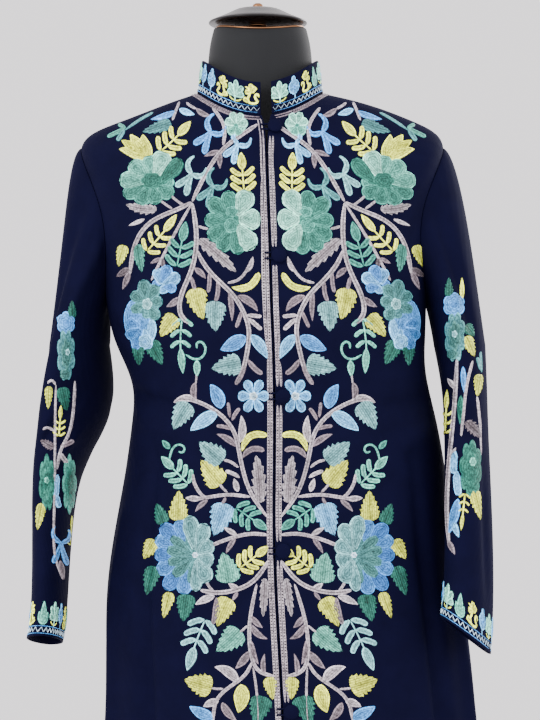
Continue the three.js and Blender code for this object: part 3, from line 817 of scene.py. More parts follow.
class Thread(Enum):
    """The embroidery's thread colours."""

    SEAFOAM = "#a4f0d8"
    MINT = "#72c8b2"
    TEAL = "#4a9d8c"
    GREEN = "#2b6f60"
    GREY_TEAL = "#8ccbce"
    SLATE = "#4d8f93"
    MOSS = "#427872"
    YELLOW = "#f3fc60"
    OLIVE = "#cfd740"
    LIGHT_BLUE = "#d2f0ff"
    SKY = "#82d0ff"
    BLUE = "#56a4ee"
    DEEP_BLUE = "#3a7ac6"
    PALE = "#beb7bd"
    MAUVE = "#82767e"
    ASH = "#5c5359"


(SEAFOAM, MINT, TEAL, GREEN, GREY_TEAL, SLATE, MOSS, YELLOW,
 OLIVE, LIGHT_BLUE, SKY, BLUE, DEEP_BLUE, PALE, MAUVE, ASH) = Thread

# The tone that shows inside the pale outline of each thread's patches
DEEPER = {
    SEAFOAM: MINT, MINT: TEAL, TEAL: GREEN, GREEN: GREEN, GREY_TEAL: SLATE, SLATE: MOSS, MOSS: MOSS,
    YELLOW: OLIVE, OLIVE: OLIVE, LIGHT_BLUE: SKY, SKY: BLUE, BLUE: DEEP_BLUE, DEEP_BLUE: DEEP_BLUE,
    PALE: MAUVE, MAUVE: ASH, ASH: ASH,
}


def tone(thread: Thread, share: Array) -> Array:
    """A thread's colour, turned to its deeper tone by a share: share's shape + (4,)."""
    share = share[..., None]
    return np.array(linear(thread.value)) * (1 - share) + np.array(linear(DEEPER[thread].value)) * share


# Embroidery


class Motif(Enum):
    """The shapes that one line of the layout can name."""

    LEAF = "broad leaf with a toothed edge and a small tail"
    PETAL = "smooth pointed leaf"
    FINGER = "narrow leaf with a round end"
    DROP = "leaf that widens to a round end"
    HORN = "curved leaf that ends in a point"
    FEATHER = "long leaf toothed on both sides"
    FERN = "stem with pairs of fingers and one at its end"
    SWALLOW = "two drops behind a fork of two curved horns"
    LOBE = "flower petal that widens to a round end"


LEAF, PETAL, FINGER, DROP, HORN, FEATHER, FERN, SWALLOW, LOBE = Motif

# How a motif is worked: steps along it, points across, core, vein, whether its rows run lengthwise
WORKED = {LEAF: (44, 9, 0.4, 0.4, True), FEATHER: (46, 9, 0.75, 0.35, True),
          LOBE: (16, 9, 0.7, 0.2, False)}
PLAINLY_WORKED = (16, 7, 0.35, 0.0, False)

# Width, knots
StemRow = tuple[float, Knots]
# Kind, X and Y of the base and of the tip, width, bend, thread
MotifRow = tuple[Motif, float, float, float, float, float, float, Thread]
# X and Y of the centre, both radii, lobes, turn, thread, order
BloomRow = tuple[float, float, float, float, int, float, Thread, float]
# X and Y of the inner and of the outer end, width, thread, order
LobeRow = tuple[float, float, float, float, float, Thread, float]


def toothed(whole: Array, t: Array, depth: Array, teeth: float, shifts: tuple[float, float]
            ) -> list[Array]:
    """An outline's two sides with saw teeth, which are shifted against each other."""
    return [whole * (1 - depth * np.mod(shift - t * teeth, 1)) for shift in shifts]


def outline(kind: Motif, t: Array) -> Sequence[Array]:
    """The two half widths of a motif, as shares of half its width, at shares t of its length."""
    if kind is LEAF:
        whole = np.sin(np.pi * np.clip(t, 0, 0.95) ** 0.6 / 0.95**0.6) ** 0.75
        tail = 0.1 * np.sqrt(np.clip(1 - t, 0, 1)) + 0.01
        sides = toothed(whole, t, smooth_step(t, 0.1, 0.4) * 0.32, 6.5, (0, 0.45))
        return [np.maximum(side, tail) for side in sides]
    if kind is FEATHER:
        whole = 1.12 * (np.abs(np.sin(np.pi * np.clip(t / 0.97, 0, 1) ** 0.7)) ** 0.6 + 0.03)
        return toothed(whole, t, 0.42, 6, (0, 0.4))
    round_end = np.sqrt(np.clip(1 - (np.maximum(t - 0.6, 0) / 0.4) ** 2, 0, 1))
    side = {
        PETAL: np.sin(np.pi * t**0.8) ** 0.8 + 0.02,
        FINGER: np.sqrt(np.clip(1 - (2 * t - 1) ** 6, 0, 1)) * np.minimum(1, 0.4 + 2.2 * t) + 0.02,
        DROP: (0.3 + 0.7 * t) * round_end + 0.02,
        HORN: np.clip(1.1 - t, 0, 0.85) ** 0.5 * np.minimum(1, 0.6 + 2 * t),
        LOBE: np.minimum(0.3 + 1.15 * t, round_end),
    }[kind]
    return [side, side]


@dataclass
class Stitching:
    """Collects raised patches of thread in a flat drawing, and lays them on a cloth surface.

    unit is the length of one unit of the drawing. A patch is a grid of drawing points with a
    lift above the cloth; its stitch lengths run along the patch and in from its outline.
    """

    unit: float
    relief: float = 0.75
    sink: float = -0.3
    slope: float = 1.6  # how far in from its outline a patch is still rising
    vein_spread: float = 1.2  # the square of a vein's half width
    lengthwise_start: float = 46.0  # twenty rows of stitches, so that none is an outline row
    patches: list[tuple[Array, ...]] = field(default_factory=list)

    def dome(self, inside: Array) -> Array:
        """The share of its full height that a patch has at lengths in from its outline."""
        return np.sqrt(np.clip(inside / self.slope, 0, 1))

    def patch(self, plane: Array, inside: Array, lengths: Sequence[Array], order: float, dent: Array,
              colours: Array) -> None:
        """Keeps one patch, whose lift falls to just under the cloth at the outline.

        Args:
            plane: its drawing points, (rows, columns, 2).
            inside: their lengths in from the outline.
            lengths: what the stitch attribute says of them: along, in, and the holes' darkness.
            order: how much higher it lies than a patch below it.
            dent: what its vein or grooves take off the lift.
            colours: (rows, columns, 4).
        """
        lift = self.sink + (self.relief + order - self.sink) * self.dome(inside) - dent
        self.patches.append((plane, lift, np.stack(np.broadcast_arrays(*lengths), axis=-1), colours))

    def blade(self, spine: Array, left: Array, right: Array, thread: Thread, order: float = 0.0,
              columns: int = 7, core: float = 0.0, vein: float = 0.0, lengthwise: bool = False,
              holes: float = 0.0) -> None:
        """One patch: each spine point spread to both sides by its half widths.

        Args:
            spine: the middle line, (n, 2).
            left, right: the half widths along it, (n,).
            thread: its colour.
            order: how much higher it lies than a patch below it.
            columns: points across.
            core: how far the colour turns to the deeper tone away from the outline.
            vein: how much lower its middle line is, with painted shade along it, from 0 to 1.
            lengthwise: whether its rows run beside the middle line, not beside the outline.
            holes: how dark its row of needle holes is.
        """
        v = np.sin(np.linspace(-np.pi / 2, np.pi / 2, columns))
        half = np.where(v[None, :] < 0, left[:, None], right[:, None])
        aside = v[None, :] * half
        along = running_length(spine) * self.unit
        inside = (1 - np.abs(v))[None, :] * half * self.unit
        inside = np.minimum(inside, np.minimum(along, along[-1] - along)[:, None] + 1e-3)
        middle = vein * np.exp(-((aside * self.unit) ** 2) / self.vein_spread)
        row = aside * self.unit + self.lengthwise_start if lengthwise else inside
        share = core * np.clip(inside / (0.6 * inside.max()), 0, 1)
        plane = spine[:, None, :] + sideways(spine)[:, None, :] * aside[..., None]
        # The vein's dip is also painted into the colour as shade: the middle line is darkened where it is
        # lowered.
        self.patch(plane, inside, (along[:, None], row, holes), order, 0.5 * middle,
                   tone(thread, share) * (1 - middle[..., None]))

    def curve(self, base: Array, tip: Array, bend: float, steps: int) -> Array:
        """A bowed line from base to tip: a parabola whose middle lies bend to the right of travel."""
        t = np.linspace(0, 1, steps)[:, None]
        aside = heading(tip - base)[2]
        return base + (tip - base) * t + aside * (4 * bend * t * (1 - t))

    def motif(self, kind: Motif, base: Array, tip: Array, width: float, bend: float, thread: Thread,
              order: float = 0.0) -> None:
        """Adds one motif between two points of the drawing, by its outline's width function."""
        base, tip = np.asarray(base, float), np.asarray(tip, float)
        steps, *worked = WORKED.get(kind, PLAINLY_WORKED)
        spine = self.curve(base, tip, bend, steps)
        if kind is FERN:
            self.fern(spine, width, thread, order)
        elif kind is SWALLOW:
            self.swallow(base, tip, width, thread, order)
        else:
            left, right = outline(kind, np.linspace(0, 1, steps))
            self.blade(spine, left * width / 2, right * width / 2, thread, order, *worked)

    def fern(self, spine: Array, width: float, thread: Thread, order: float) -> None:
        """A thin stem, three pairs of fingers that curve forward, and a broad one at the end."""
        _, ahead, aside = heading(spine[-1] - spine[0])
        above = order + 0.1
        self.line(spine[: int(len(spine) * 0.75)], 2.0, thread, order)
        self.motif(PETAL, spine[int(len(spine) * 0.54)], spine[-1], width * 0.34, 0, thread, above)
        for share in (0.04, 0.24, 0.44):
            foot = spine[int(share * (len(spine) - 1))]
            for side in (-1, 1):
                reach = (aside * side * 0.86 + ahead * 0.62) * width * (0.54 - 0.1 * share)
                self.motif(FINGER, foot, foot + reach, width * 0.19, side * width * 0.05, thread, above)

    def swallow(self, base: Array, tip: Array, width: float, thread: Thread, order: float) -> None:
        """Two drops that spread from the fork towards the tip, and two horns that curl back."""
        length, ahead, aside = heading(tip - base)
        for side, long, back in ((-1, 1.0, 0.6), (1, 0.92, 0.72)):
            drop = base + (ahead * math.cos(0.34) + aside * side * math.sin(0.34)) * length * long
            self.motif(DROP, base - ahead * 1.5, drop, width * 0.5, -side * width * 0.05, thread, order)
            horn = base - ahead * length * back + aside * side * width * 0.42
            self.motif(HORN, base, horn, width * 0.36, -side * width * 0.3, thread, order + 0.1)

    def line(self, route: Array, width: float, thread: Thread, order: float = 0.0, core: float = 0.0,
             columns: int = 5, holes: float = 0.0) -> None:
        """A stem of even width along a route, narrower at its two ends."""
        t = np.linspace(0, 1, len(route))
        half = width / 2 * (0.35 + 0.65 * np.sqrt(np.clip(np.minimum(t, 1 - t) * 10, 0, 1)))
        self.blade(route, half, half, thread, order, columns, core, holes=holes)

    def stem(self, knots: Knots, width: float, thread: Thread, order: float = 0.0, core: float = 0.0,
             holes: float = 0.0) -> None:
        """A stem on a B-spline near a few knots, with a point for every 2.5 units."""
        knots = np.array(knots, float)
        count = max(6, int(running_length(knots)[-1] / 2.5))
        route = spline(knots, np.linspace(0, len(knots) - 1, count))
        self.line(route, width, thread, order, core, holes=holes)

    def fan(self, centre: Array, radii: tuple[float, float], start: float, sweep: float, lobes: int,
            thread: Thread, order: float = 0.0, wide: float = 0.92) -> None:
        """Round-ended petals side by side round a centre.

        Args:
            centre: the flower's middle.
            radii: how far the petals reach along X and Y.
            start, sweep: degrees, clockwise on the drawing from its X axis.
            lobes: the number of petals.
            thread: their colour.
            order: their height above the first layer.
            wide: a petal's width as a share of the room between its neighbours, which on an
                ellipse is the angle times both radii over the reach.
        """
        centre = np.asarray(centre, float)
        for k in range(lobes):
            angle = math.radians(start + sweep * (k + 0.5) / lobes)
            reach = np.array([math.cos(angle) * radii[0], math.sin(angle) * radii[1]])
            room = math.radians(sweep / lobes) * radii[0] * radii[1] / float(np.linalg.norm(reach))
            self.motif(LOBE, centre + reach * 0.06, centre + reach, wide * room, 0, thread,
                       order + 0.12 * (k % 2))

    def bloom(self, centre: Array, radii: tuple[float, float], lobes: int, turn: float, thread: Thread,
              order: float = 0.0, depth: float = 0.16) -> None:
        """A round patch with a scalloped outline, and rows of stitches that follow it inwards.

        The outline is an ellipse times 1 - depth + depth |cos(lobes (angle - turn) / 2)| ** 0.6, and
        a groove runs in from each notch: lowered, and darkened with painted shade.

        Args:
            centre: its middle.
            radii: its half width and half height.
            lobes: the number of scallops.
            turn: degrees that the first scallop is turned.
            thread: its colour.
            order: its height above the first layer.
            depth: the depth of a notch as a share of the radius.
        """
        angle = np.linspace(0, 2 * np.pi, lobes * 12 + 1)[None, :]
        share = np.sin(np.linspace(0, np.pi / 2, 9))[:, None]
        notch = np.abs(np.cos(lobes * (angle - math.radians(turn)) / 2))
        edge = 1 - depth + depth * notch**0.6
        ray = np.stack([radii[0] * np.cos(angle), radii[1] * np.sin(angle)], axis=-1)
        inside = (1 - share) * edge * min(radii) * self.unit
        groove = 0.4 * np.exp(-((notch * lobes) ** 2) / 2.5) * smooth_step(share, 0.3, 0.7)
        along = angle * share * edge * sum(radii) / 2 * self.unit
        core = 0.6 - 0.6 * smooth_step(share, 0.05, 0.5)
        # The groove is painted into the colour as shade, as well as lowering the lift.
        self.patch(np.asarray(centre, float) + ray * (share * edge)[..., None], inside,
                   (along, inside, 0.0), order, 0.4 * groove * self.dome(inside),
                   tone(thread, core) * (1 - groove[..., None]))

    def stems(self, rows: Sequence[StemRow], thread: Thread = PALE, thin: float = 1.0) -> None:
        """Adds a table of stems, whose widths are all multiplied by thin."""
        for width, knots in rows:
            self.stem(knots, width * thin, thread, order=0.25, core=0.75, holes=0.2)

    def motifs(self, rows: Sequence[MotifRow]) -> None:
        """Adds a table of motifs."""
        for kind, x0, y0, x1, y1, width, bend, thread in rows:
            self.motif(kind, (x0, y0), (x1, y1), width, bend, thread, order=0.1)

    def lay(self, name: str, surface: Surface, chart: Chart, material: Material) -> Piece:
        """Lays every patch on a surface, as one mesh.

        Args:
            name: the piece's name.
            surface: the cloth.
            chart: turns drawing coordinates into the surface's parameters.
            material: the thread.
        Returns:
            The piece: each drawing point's place on the surface, moved out by its lift.
        """
        faces, start = [], 0
        for patch in self.patches:
            rows, columns = patch[0].shape[:2]
            faces.append(grid_faces(rows, columns, start))
            start += rows * columns
        plane, lift, stitch, colours = (
            np.concatenate([patch[k].reshape(-1, size) for patch in self.patches])
            for k, size in enumerate((2, 1, 3, 4)))
        u, v = chart(plane[:, 0], plane[:, 1])
        points = surface.raised(u, v, lift[:, 0])
        quads = np.concatenate(faces)
        a, b, c = (points[quads[:, k]] for k in (0, 1, 2))
        facing = np.einsum("ij,ij->i", np.cross(b - a, c - a), surface.normal(u, v)[quads[:, 0]])
        quads[facing < 0] = quads[facing < 0][:, ::-1]
        attributes = {"thread_colour": colours, "stitch": stitch}
        return mesh_piece(name, points, [quads], material, attributes=attributes)


class PhotoChart:
    """Finds the place on a surface that lies behind a pixel of the photograph.

    A fine grid of the surface's visible side is projected to pixels. Each pixel cell keeps the
    mean of the parameters that fall in it, empty cells take their neighbours', and Newton
    steps refine what is read between cells.
    """

    spread = 60  # how many cells the filled ones spread into the empty ones
    steps = 3
    nudge = 1e-4  # the change of u or v that slopes are measured with
    flattest = 30.0  # the least determinant of the slopes that a step is still made with
    longest_step = (0.02, 0.1)  # in u and in v
    trust = (0.012, 0.06)  # how far the steps may leave the grid's answer in all

    def __init__(self, surface: Surface, u_range: tuple[float, float], v_range: tuple[float, float],
                 rows: int = PHOTO_HEIGHT, grid: tuple[int, int] = (420, 800)) -> None:
        self.surface = surface
        self.ranges = (u_range, v_range)
        self.height = rows
        u, v = np.meshgrid(np.linspace(*u_range, grid[0]), np.linspace(*v_range, grid[1]), indexing="ij")
        points = surface.point(u, v)
        across, down = np.gradient(points, axis=0), np.gradient(points, axis=1)
        normal = surface.outward * np.cross(down, across)
        seen = np.einsum("...i,...i->...", normal, CAMERA - points) > 0
        px, py = photo_pixel(points)
        column = np.clip(px, 0, PHOTO_WIDTH - 1).astype(int)
        cell = (np.clip(py, 0, rows - 1).astype(int) * PHOTO_WIDTH + column)[seen]
        size = rows * PHOTO_WIDTH
        count = np.bincount(cell, minlength=size).astype(float)
        sums = [np.bincount(cell, w[seen], minlength=size) for w in (u, v)]
        for _ in range(self.spread):
            empty = count == 0
            for shift in (1, -1, PHOTO_WIDTH, -PHOTO_WIDTH):
                near = np.roll(count, shift)
                take = empty & (near > 0) & (count == 0)
                for s in sums:
                    s[take] = (np.roll(s, shift) / np.maximum(near, 1e-9))[take]
                count[take] = 1
        self.maps = [(s / np.maximum(count, 1e-9)).reshape(rows, PHOTO_WIDTH) for s in sums]

    def __call__(self, px: Array, py: Array) -> tuple[Array, Array]:
        """The surface parameters behind pixels."""
        x = np.clip(px - 0.5, 0, PHOTO_WIDTH - 1.001)
        y = np.clip(py - 0.5, 0, self.height - 1.001)
        i, j = y.astype(int), x.astype(int)
        s, t = y - i, x - j
        first = [m[i, j] * (1 - s) * (1 - t) + m[i + 1, j] * s * (1 - t) + m[i, j + 1] * (1 - s) * t
                 + m[i + 1, j + 1] * s * t for m in self.maps]
        u, v = first
        for _ in range(self.steps):
            here = photo_pixel(self.surface.point(u, v))
            by_u = photo_pixel(self.surface.point(u + self.nudge, v))
            by_v = photo_pixel(self.surface.point(u, v + self.nudge))
            (a, c), (b, d) = ([(to[k] - here[k]) / self.nudge for k in (0, 1)] for to in (by_u, by_v))
            det = a * d - b * c
            det = np.where(np.abs(det) < self.flattest, np.nan, det)
            ex, ey = px - here[0], py - here[1]
            moves = np.nan_to_num((d * ex - b * ey) / det), np.nan_to_num((a * ey - c * ex) / det)
            u, v = (np.clip(w + np.clip(move, -most, most), *ends)
                    for w, move, most, ends in zip((u, v), moves, self.longest_step, self.ranges))
        u, v = (f + np.clip(w - f, -most, most) for f, w, most in zip(first, (u, v), self.trust))
        return u, v


# Stems of the right front, as pixels of the photograph: width, then knots
FRONT_STEMS: Sequence[StemRow] = (
    (5.0, ((258, 124), (238, 137), (220, 150), (204, 176), (192, 202))),
    (4.2, ((212, 107), (221, 118), (226, 130), (223, 146))),
    (3.4, ((186, 102), (190, 106), (197, 109))), (3.4, ((180, 101), (176, 110), (172, 121))),
    (5.2, ((192, 202), (175, 211), (149, 220), (133, 243), (130, 275))),
    (3.6, ((192, 203), (172, 238), (162, 258), (151, 281))),
    (5.6, ((192, 202), (198, 235), (194, 268), (180, 294), (178, 315), (190, 324))),
    (5.4, ((197, 250), (203, 264), (217, 280), (235, 295), (247, 318), (250, 333), (247, 354),
           (243, 372), (236, 385))),
    (3.2, ((167, 191), (175, 200), (185, 206))), (3.2, ((160, 200), (166, 205), (173, 209))),
    (3.4, ((198, 226), (203, 228), (209, 229))), (3.6, ((227, 283), (239, 281), (247, 271), (253, 257))),
    (2.4, ((197, 372), (196, 380), (196, 384))),
    (5.0, ((174, 403), (180, 397), (198, 401), (215, 410), (227, 420), (236, 434), (239, 451), (243, 473),
           (251, 496), (268, 518))),
    (3.6, ((223, 460), (231, 461), (239, 468))),
    (4.4, ((251, 497), (230, 494), (215, 496), (199, 499), (187, 499))),
    (4.2, ((192, 472), (194, 484), (200, 494), (207, 499))), (3.2, ((228, 493), (222, 488), (219, 483))),
    (4.6, ((268, 535), (252, 533), (237, 536), (222, 541), (208, 547))),
    (5.4, ((269, 560), (256, 581), (239, 590), (217, 594), (200, 590))),
    (3.6, ((214, 592), (209, 587), (206, 581))),
    (4.6, ((257, 583), (249, 619), (249, 645), (253, 666), (262, 674), (274, 676))),
    (4.4, ((252, 662), (247, 674), (237, 682), (222, 692), (214, 703), (213, 722))),
    (3.2, ((253, 667), (257, 690), (259, 724), (256, 760), (262, 800), (271, 836))),
    (3.0, ((248, 625), (243, 630), (239, 633))), (3.0, ((224, 689), (217, 689), (211, 688))),
)

# The mint curls of the right front, as the stems above
FRONT_CURLS: Sequence[StemRow] = (
    (3.0, ((185, 354), (193, 360), (202, 359), (207, 350), (203, 341), (196, 342), (197, 349))),
    (2.8, ((169, 462), (171, 449), (178, 443), (186, 447), (183, 454), (178, 451))),
)

# Motifs of the right front: kind, base, tip, width, bend, thread
FRONT_MOTIFS: Sequence[MotifRow] = (
    (PETAL, 177, 111, 150, 119.5, 6.5, -1, BLUE), (PETAL, 179, 109, 195, 114.5, 7, 0.5, SKY),
    (PETAL, 196, 108, 212, 116, 6, 2, MAUVE), (FINGER, 126, 128, 107, 137, 4.6, 0, TEAL),
    (FINGER, 125, 129, 117, 141, 4.8, 0, SLATE), (FINGER, 126, 128, 118, 124, 4.2, 0, TEAL),
    (FINGER, 124, 131, 154, 112, 3.0, -1, SLATE), (LEAF, 171, 122, 140.5, 132, 14, -1, SLATE),
    (FERN, 161, 151, 191, 121, 27, 1, YELLOW), (PETAL, 149, 160, 118.5, 149, 12, 2, YELLOW),
    (PETAL, 149, 160, 121, 140, 13, 1, OLIVE), (PETAL, 149, 160, 130, 134, 14, 0, YELLOW),
    (PETAL, 149, 161, 143, 134, 14, -1, YELLOW), (SWALLOW, 211, 132, 197, 151, 19, 0, BLUE),
    (SWALLOW, 192, 174, 179, 193, 19, 0, GREY_TEAL), (SWALLOW, 213, 186, 201, 206, 19, 0, SLATE),
    (SWALLOW, 238, 144, 227, 162, 18, 0, SKY), (PETAL, 220, 151, 204, 156.5, 5.6, 0.5, MAUVE),
    (PETAL, 220.5, 152, 220, 169, 6, 0.5, MAUVE), (FERN, 244, 191, 241, 152, 27, 0, YELLOW),
    (FEATHER, 157, 209, 125, 204, 11, -2, PALE), (PETAL, 145, 219, 128, 226, 4.6, 0, PALE),
    (FERN, 147, 251, 177, 214, 24, 1, YELLOW), (LEAF, 124, 245, 118, 268, 13, 0, YELLOW),
    (LEAF, 137, 244, 142, 274, 14, 0, TEAL), (FERN, 177, 266, 186, 221, 29, 0, TEAL),
    (FEATHER, 199, 239, 237, 273, 14, -1, PALE), (PETAL, 130, 268, 116, 277, 7.5, 0, ASH),
    (PETAL, 130, 271, 122.5, 290, 6.5, 0, MAUVE), (PETAL, 161, 258, 150, 263.5, 4.8, 0, MAUVE),
    (PETAL, 162, 257, 164, 271, 5, 0, ASH), (PETAL, 194, 268, 206, 279, 6.5, -1, MAUVE),
    (FINGER, 191, 276, 195, 290, 4.4, 0, MAUVE), (LEAF, 195, 288, 204, 321, 23, 1, YELLOW),
    (PETAL, 180, 297, 166, 307, 7, -1, MAUVE), (FINGER, 209, 271, 208, 293, 4.6, -1, MAUVE),
    (FINGER, 217, 280, 215, 302, 4.8, -2, MAUVE), (LEAF, 216, 301, 216, 333, 24, 1, GREY_TEAL),
    (PETAL, 247, 272, 253, 256, 5.4, 1, PALE), (FINGER, 231, 287, 259, 272, 7.4, 8, YELLOW),
    (PETAL, 229, 291, 232, 322, 6, -1, MAUVE), (PETAL, 237, 296, 258, 312, 8.5, -3, MAUVE),
    (FINGER, 243, 309, 236, 328, 4.4, 0, MAUVE), (FINGER, 246, 315, 262, 316.5, 4.4, 0, PALE),
    (FINGER, 248, 318, 262, 330, 4.8, 0, PALE), (PETAL, 133, 299, 138, 350, 17, 3, BLUE),
    (PETAL, 152, 318, 144, 350, 12, -2, SKY), (LEAF, 176, 316, 160, 338, 20, 1, YELLOW),
    (LEAF, 150, 341, 163, 366, 18, 0, GREEN), (LEAF, 138, 344, 139, 367, 14, 0, GREEN),
    (FERN, 182, 319, 183, 374, 23, 2, MINT), (PETAL, 197, 360, 197, 377, 7.5, 0, MINT),
    (PETAL, 196, 382, 197, 402, 7, 3, MAUVE), (PETAL, 198, 401, 173, 403, 7.5, 4, PALE),
    (LEAF, 189, 403, 173, 431, 23, 1, GREY_TEAL), (PETAL, 221, 409, 210, 384, 14, 2, BLUE),
    (PETAL, 218, 412, 190, 431, 14, 1, SKY), (PETAL, 246, 336, 220, 350, 15, -1, BLUE),
    (PETAL, 250, 335, 267.5, 359, 11.5, -2, SKY), (LEAF, 241, 363, 210, 369, 24, 0, GREY_TEAL),
    (FINGER, 245, 360, 235, 385, 5.4, -2, MAUVE), (FINGER, 248, 359, 263, 374, 5.6, 2, MAUVE),
    (FINGER, 230, 418, 228, 402, 3.8, 0, MAUVE), (FINGER, 232, 421, 240, 408, 4.4, -1, MAUVE),
    (FINGER, 234, 430, 216, 426, 4.4, 1, MAUVE), (PETAL, 240, 443, 241, 415, 8.5, 2, PALE),
    (PETAL, 237, 447, 216, 434, 7, 2, MAUVE), (FINGER, 242, 452, 268, 436, 7.2, -9, YELLOW),
    (FINGER, 242, 459, 265, 451, 6.2, -6, MAUVE), (LEAF, 222, 462, 198, 441, 25, 0, GREY_TEAL),
    (FINGER, 240, 478, 225, 471, 4.4, 1, PALE), (LEAF, 221, 485, 200, 459, 25, 0, YELLOW),
    (FERN, 188, 484, 161, 456, 27, 0, MINT), (PETAL, 170, 449, 162, 440, 6.5, 0, TEAL),
    (PETAL, 201, 499, 185, 498, 6.5, 0, PALE), (PETAL, 208, 500, 195, 512, 5.6, 1, MAUVE),
    (PETAL, 238, 492, 234, 478, 6.5, 0, PALE), (FINGER, 226, 497, 222, 505, 3.6, 0, MAUVE),
    (FEATHER, 260, 503, 256, 454, 15, 1, PALE), (LEAF, 178, 521, 179, 489, 21, 0, YELLOW),
    (LEAF, 164, 524, 156, 502, 16, 0, GREEN), (LEAF, 225, 503, 213, 537, 27, -1, SKY),
    (FERN, 236, 508, 268, 530, 27, 0, TEAL), (PETAL, 237, 535, 223, 527, 5.6, 0, PALE),
    (PETAL, 236, 538, 226, 554, 5.6, 1, MAUVE), (FERN, 240, 568, 269, 546, 26, 0, YELLOW),
    (LEAF, 229, 583, 222, 551, 27, 1, MINT), (FEATHER, 265, 578, 263, 618, 10, 0, PALE),
    (PETAL, 240, 591, 228, 583, 6.5, 0, PALE), (PETAL, 238, 592, 232, 601, 4.6, 0, MAUVE),
    (LEAF, 229, 598, 217, 628, 23, 1, YELLOW), (PETAL, 215, 596, 195, 605, 8, 1, PALE),
    (PETAL, 216, 597, 210, 627, 9.5, -4, MAUVE), (LEAF, 187, 594, 183, 623, 21, 0, GREEN),
    (LEAF, 154, 566, 146, 597, 18, 0, GREEN), (LEAF, 155, 540, 143, 560, 17, 0, YELLOW),
    (LEAF, 170, 592, 163, 620, 13, 0, YELLOW), (FERN, 205, 620, 187, 671, 32, 1, GREY_TEAL),
    (LEAF, 240, 630, 215, 652, 26, -1, MINT), (PETAL, 251, 616, 263, 628, 6.4, 1, MAUVE),
    (PETAL, 251, 624, 268, 639, 7, 3, MAUVE), (PETAL, 251, 640, 259, 665, 6.6, 2, MAUVE),
    (PETAL, 250, 651, 235, 669, 8.5, -1, MAUVE), (PETAL, 265, 676, 265, 653, 5.6, -2, MAUVE),
    (PETAL, 238, 683, 214, 667, 11, 4, PALE), (LEAF, 212, 688, 183, 679, 25, 0, YELLOW),
    (PETAL, 241, 684, 238, 713, 16, -2, YELLOW), (LEAF, 269, 677, 273, 701, 15, 0, YELLOW),
    (LEAF, 263, 696, 255, 726, 25, 0, GREEN), (PETAL, 215, 719, 189, 706, 12, -1, BLUE),
    (PETAL, 219, 701, 203, 707, 8.5, 1, PALE), (PETAL, 222, 702, 237, 721, 8.5, 2, MAUVE),
    (LEAF, 213, 722, 200, 750, 20, 0, GREEN), (LEAF, 258, 738, 236, 756, 20, 0, MINT),
    (FERN, 257, 762, 228, 790, 25, 0, YELLOW), (PETAL, 259, 780, 274, 762, 8, 1, MAUVE),
    (LEAF, 262, 800, 240, 824, 20, 0, BLUE), (PETAL, 266, 818, 278, 800, 7, 1, PALE),
    (LEAF, 270, 834, 262, 866, 18, 0, GREY_TEAL),
)

# Round patches under the petals of the right front: centre, radii, lobes, turn, thread, order
FRONT_BLOOMS: Sequence[BloomRow] = (
    (151, 180, 24, 20, 9, 10, TEAL, 0.0), (232, 222, 21, 25, 9, 20, TEAL, 0.0),
    (236, 124, 12, 10, 5, -90, MINT, 0.1), (147, 301, 13, 19, 6, 30, SLATE, 0.3),
    (141, 327, 11, 19, 6, 20, BLUE, 0.0), (180, 555, 20, 33, 10, 5, DEEP_BLUE, 0.0),
    (191, 555, 19, 32, 9, 15, SLATE, 0.3), (243, 812, 12, 12, 5, -60, SKY, 0.3),
)

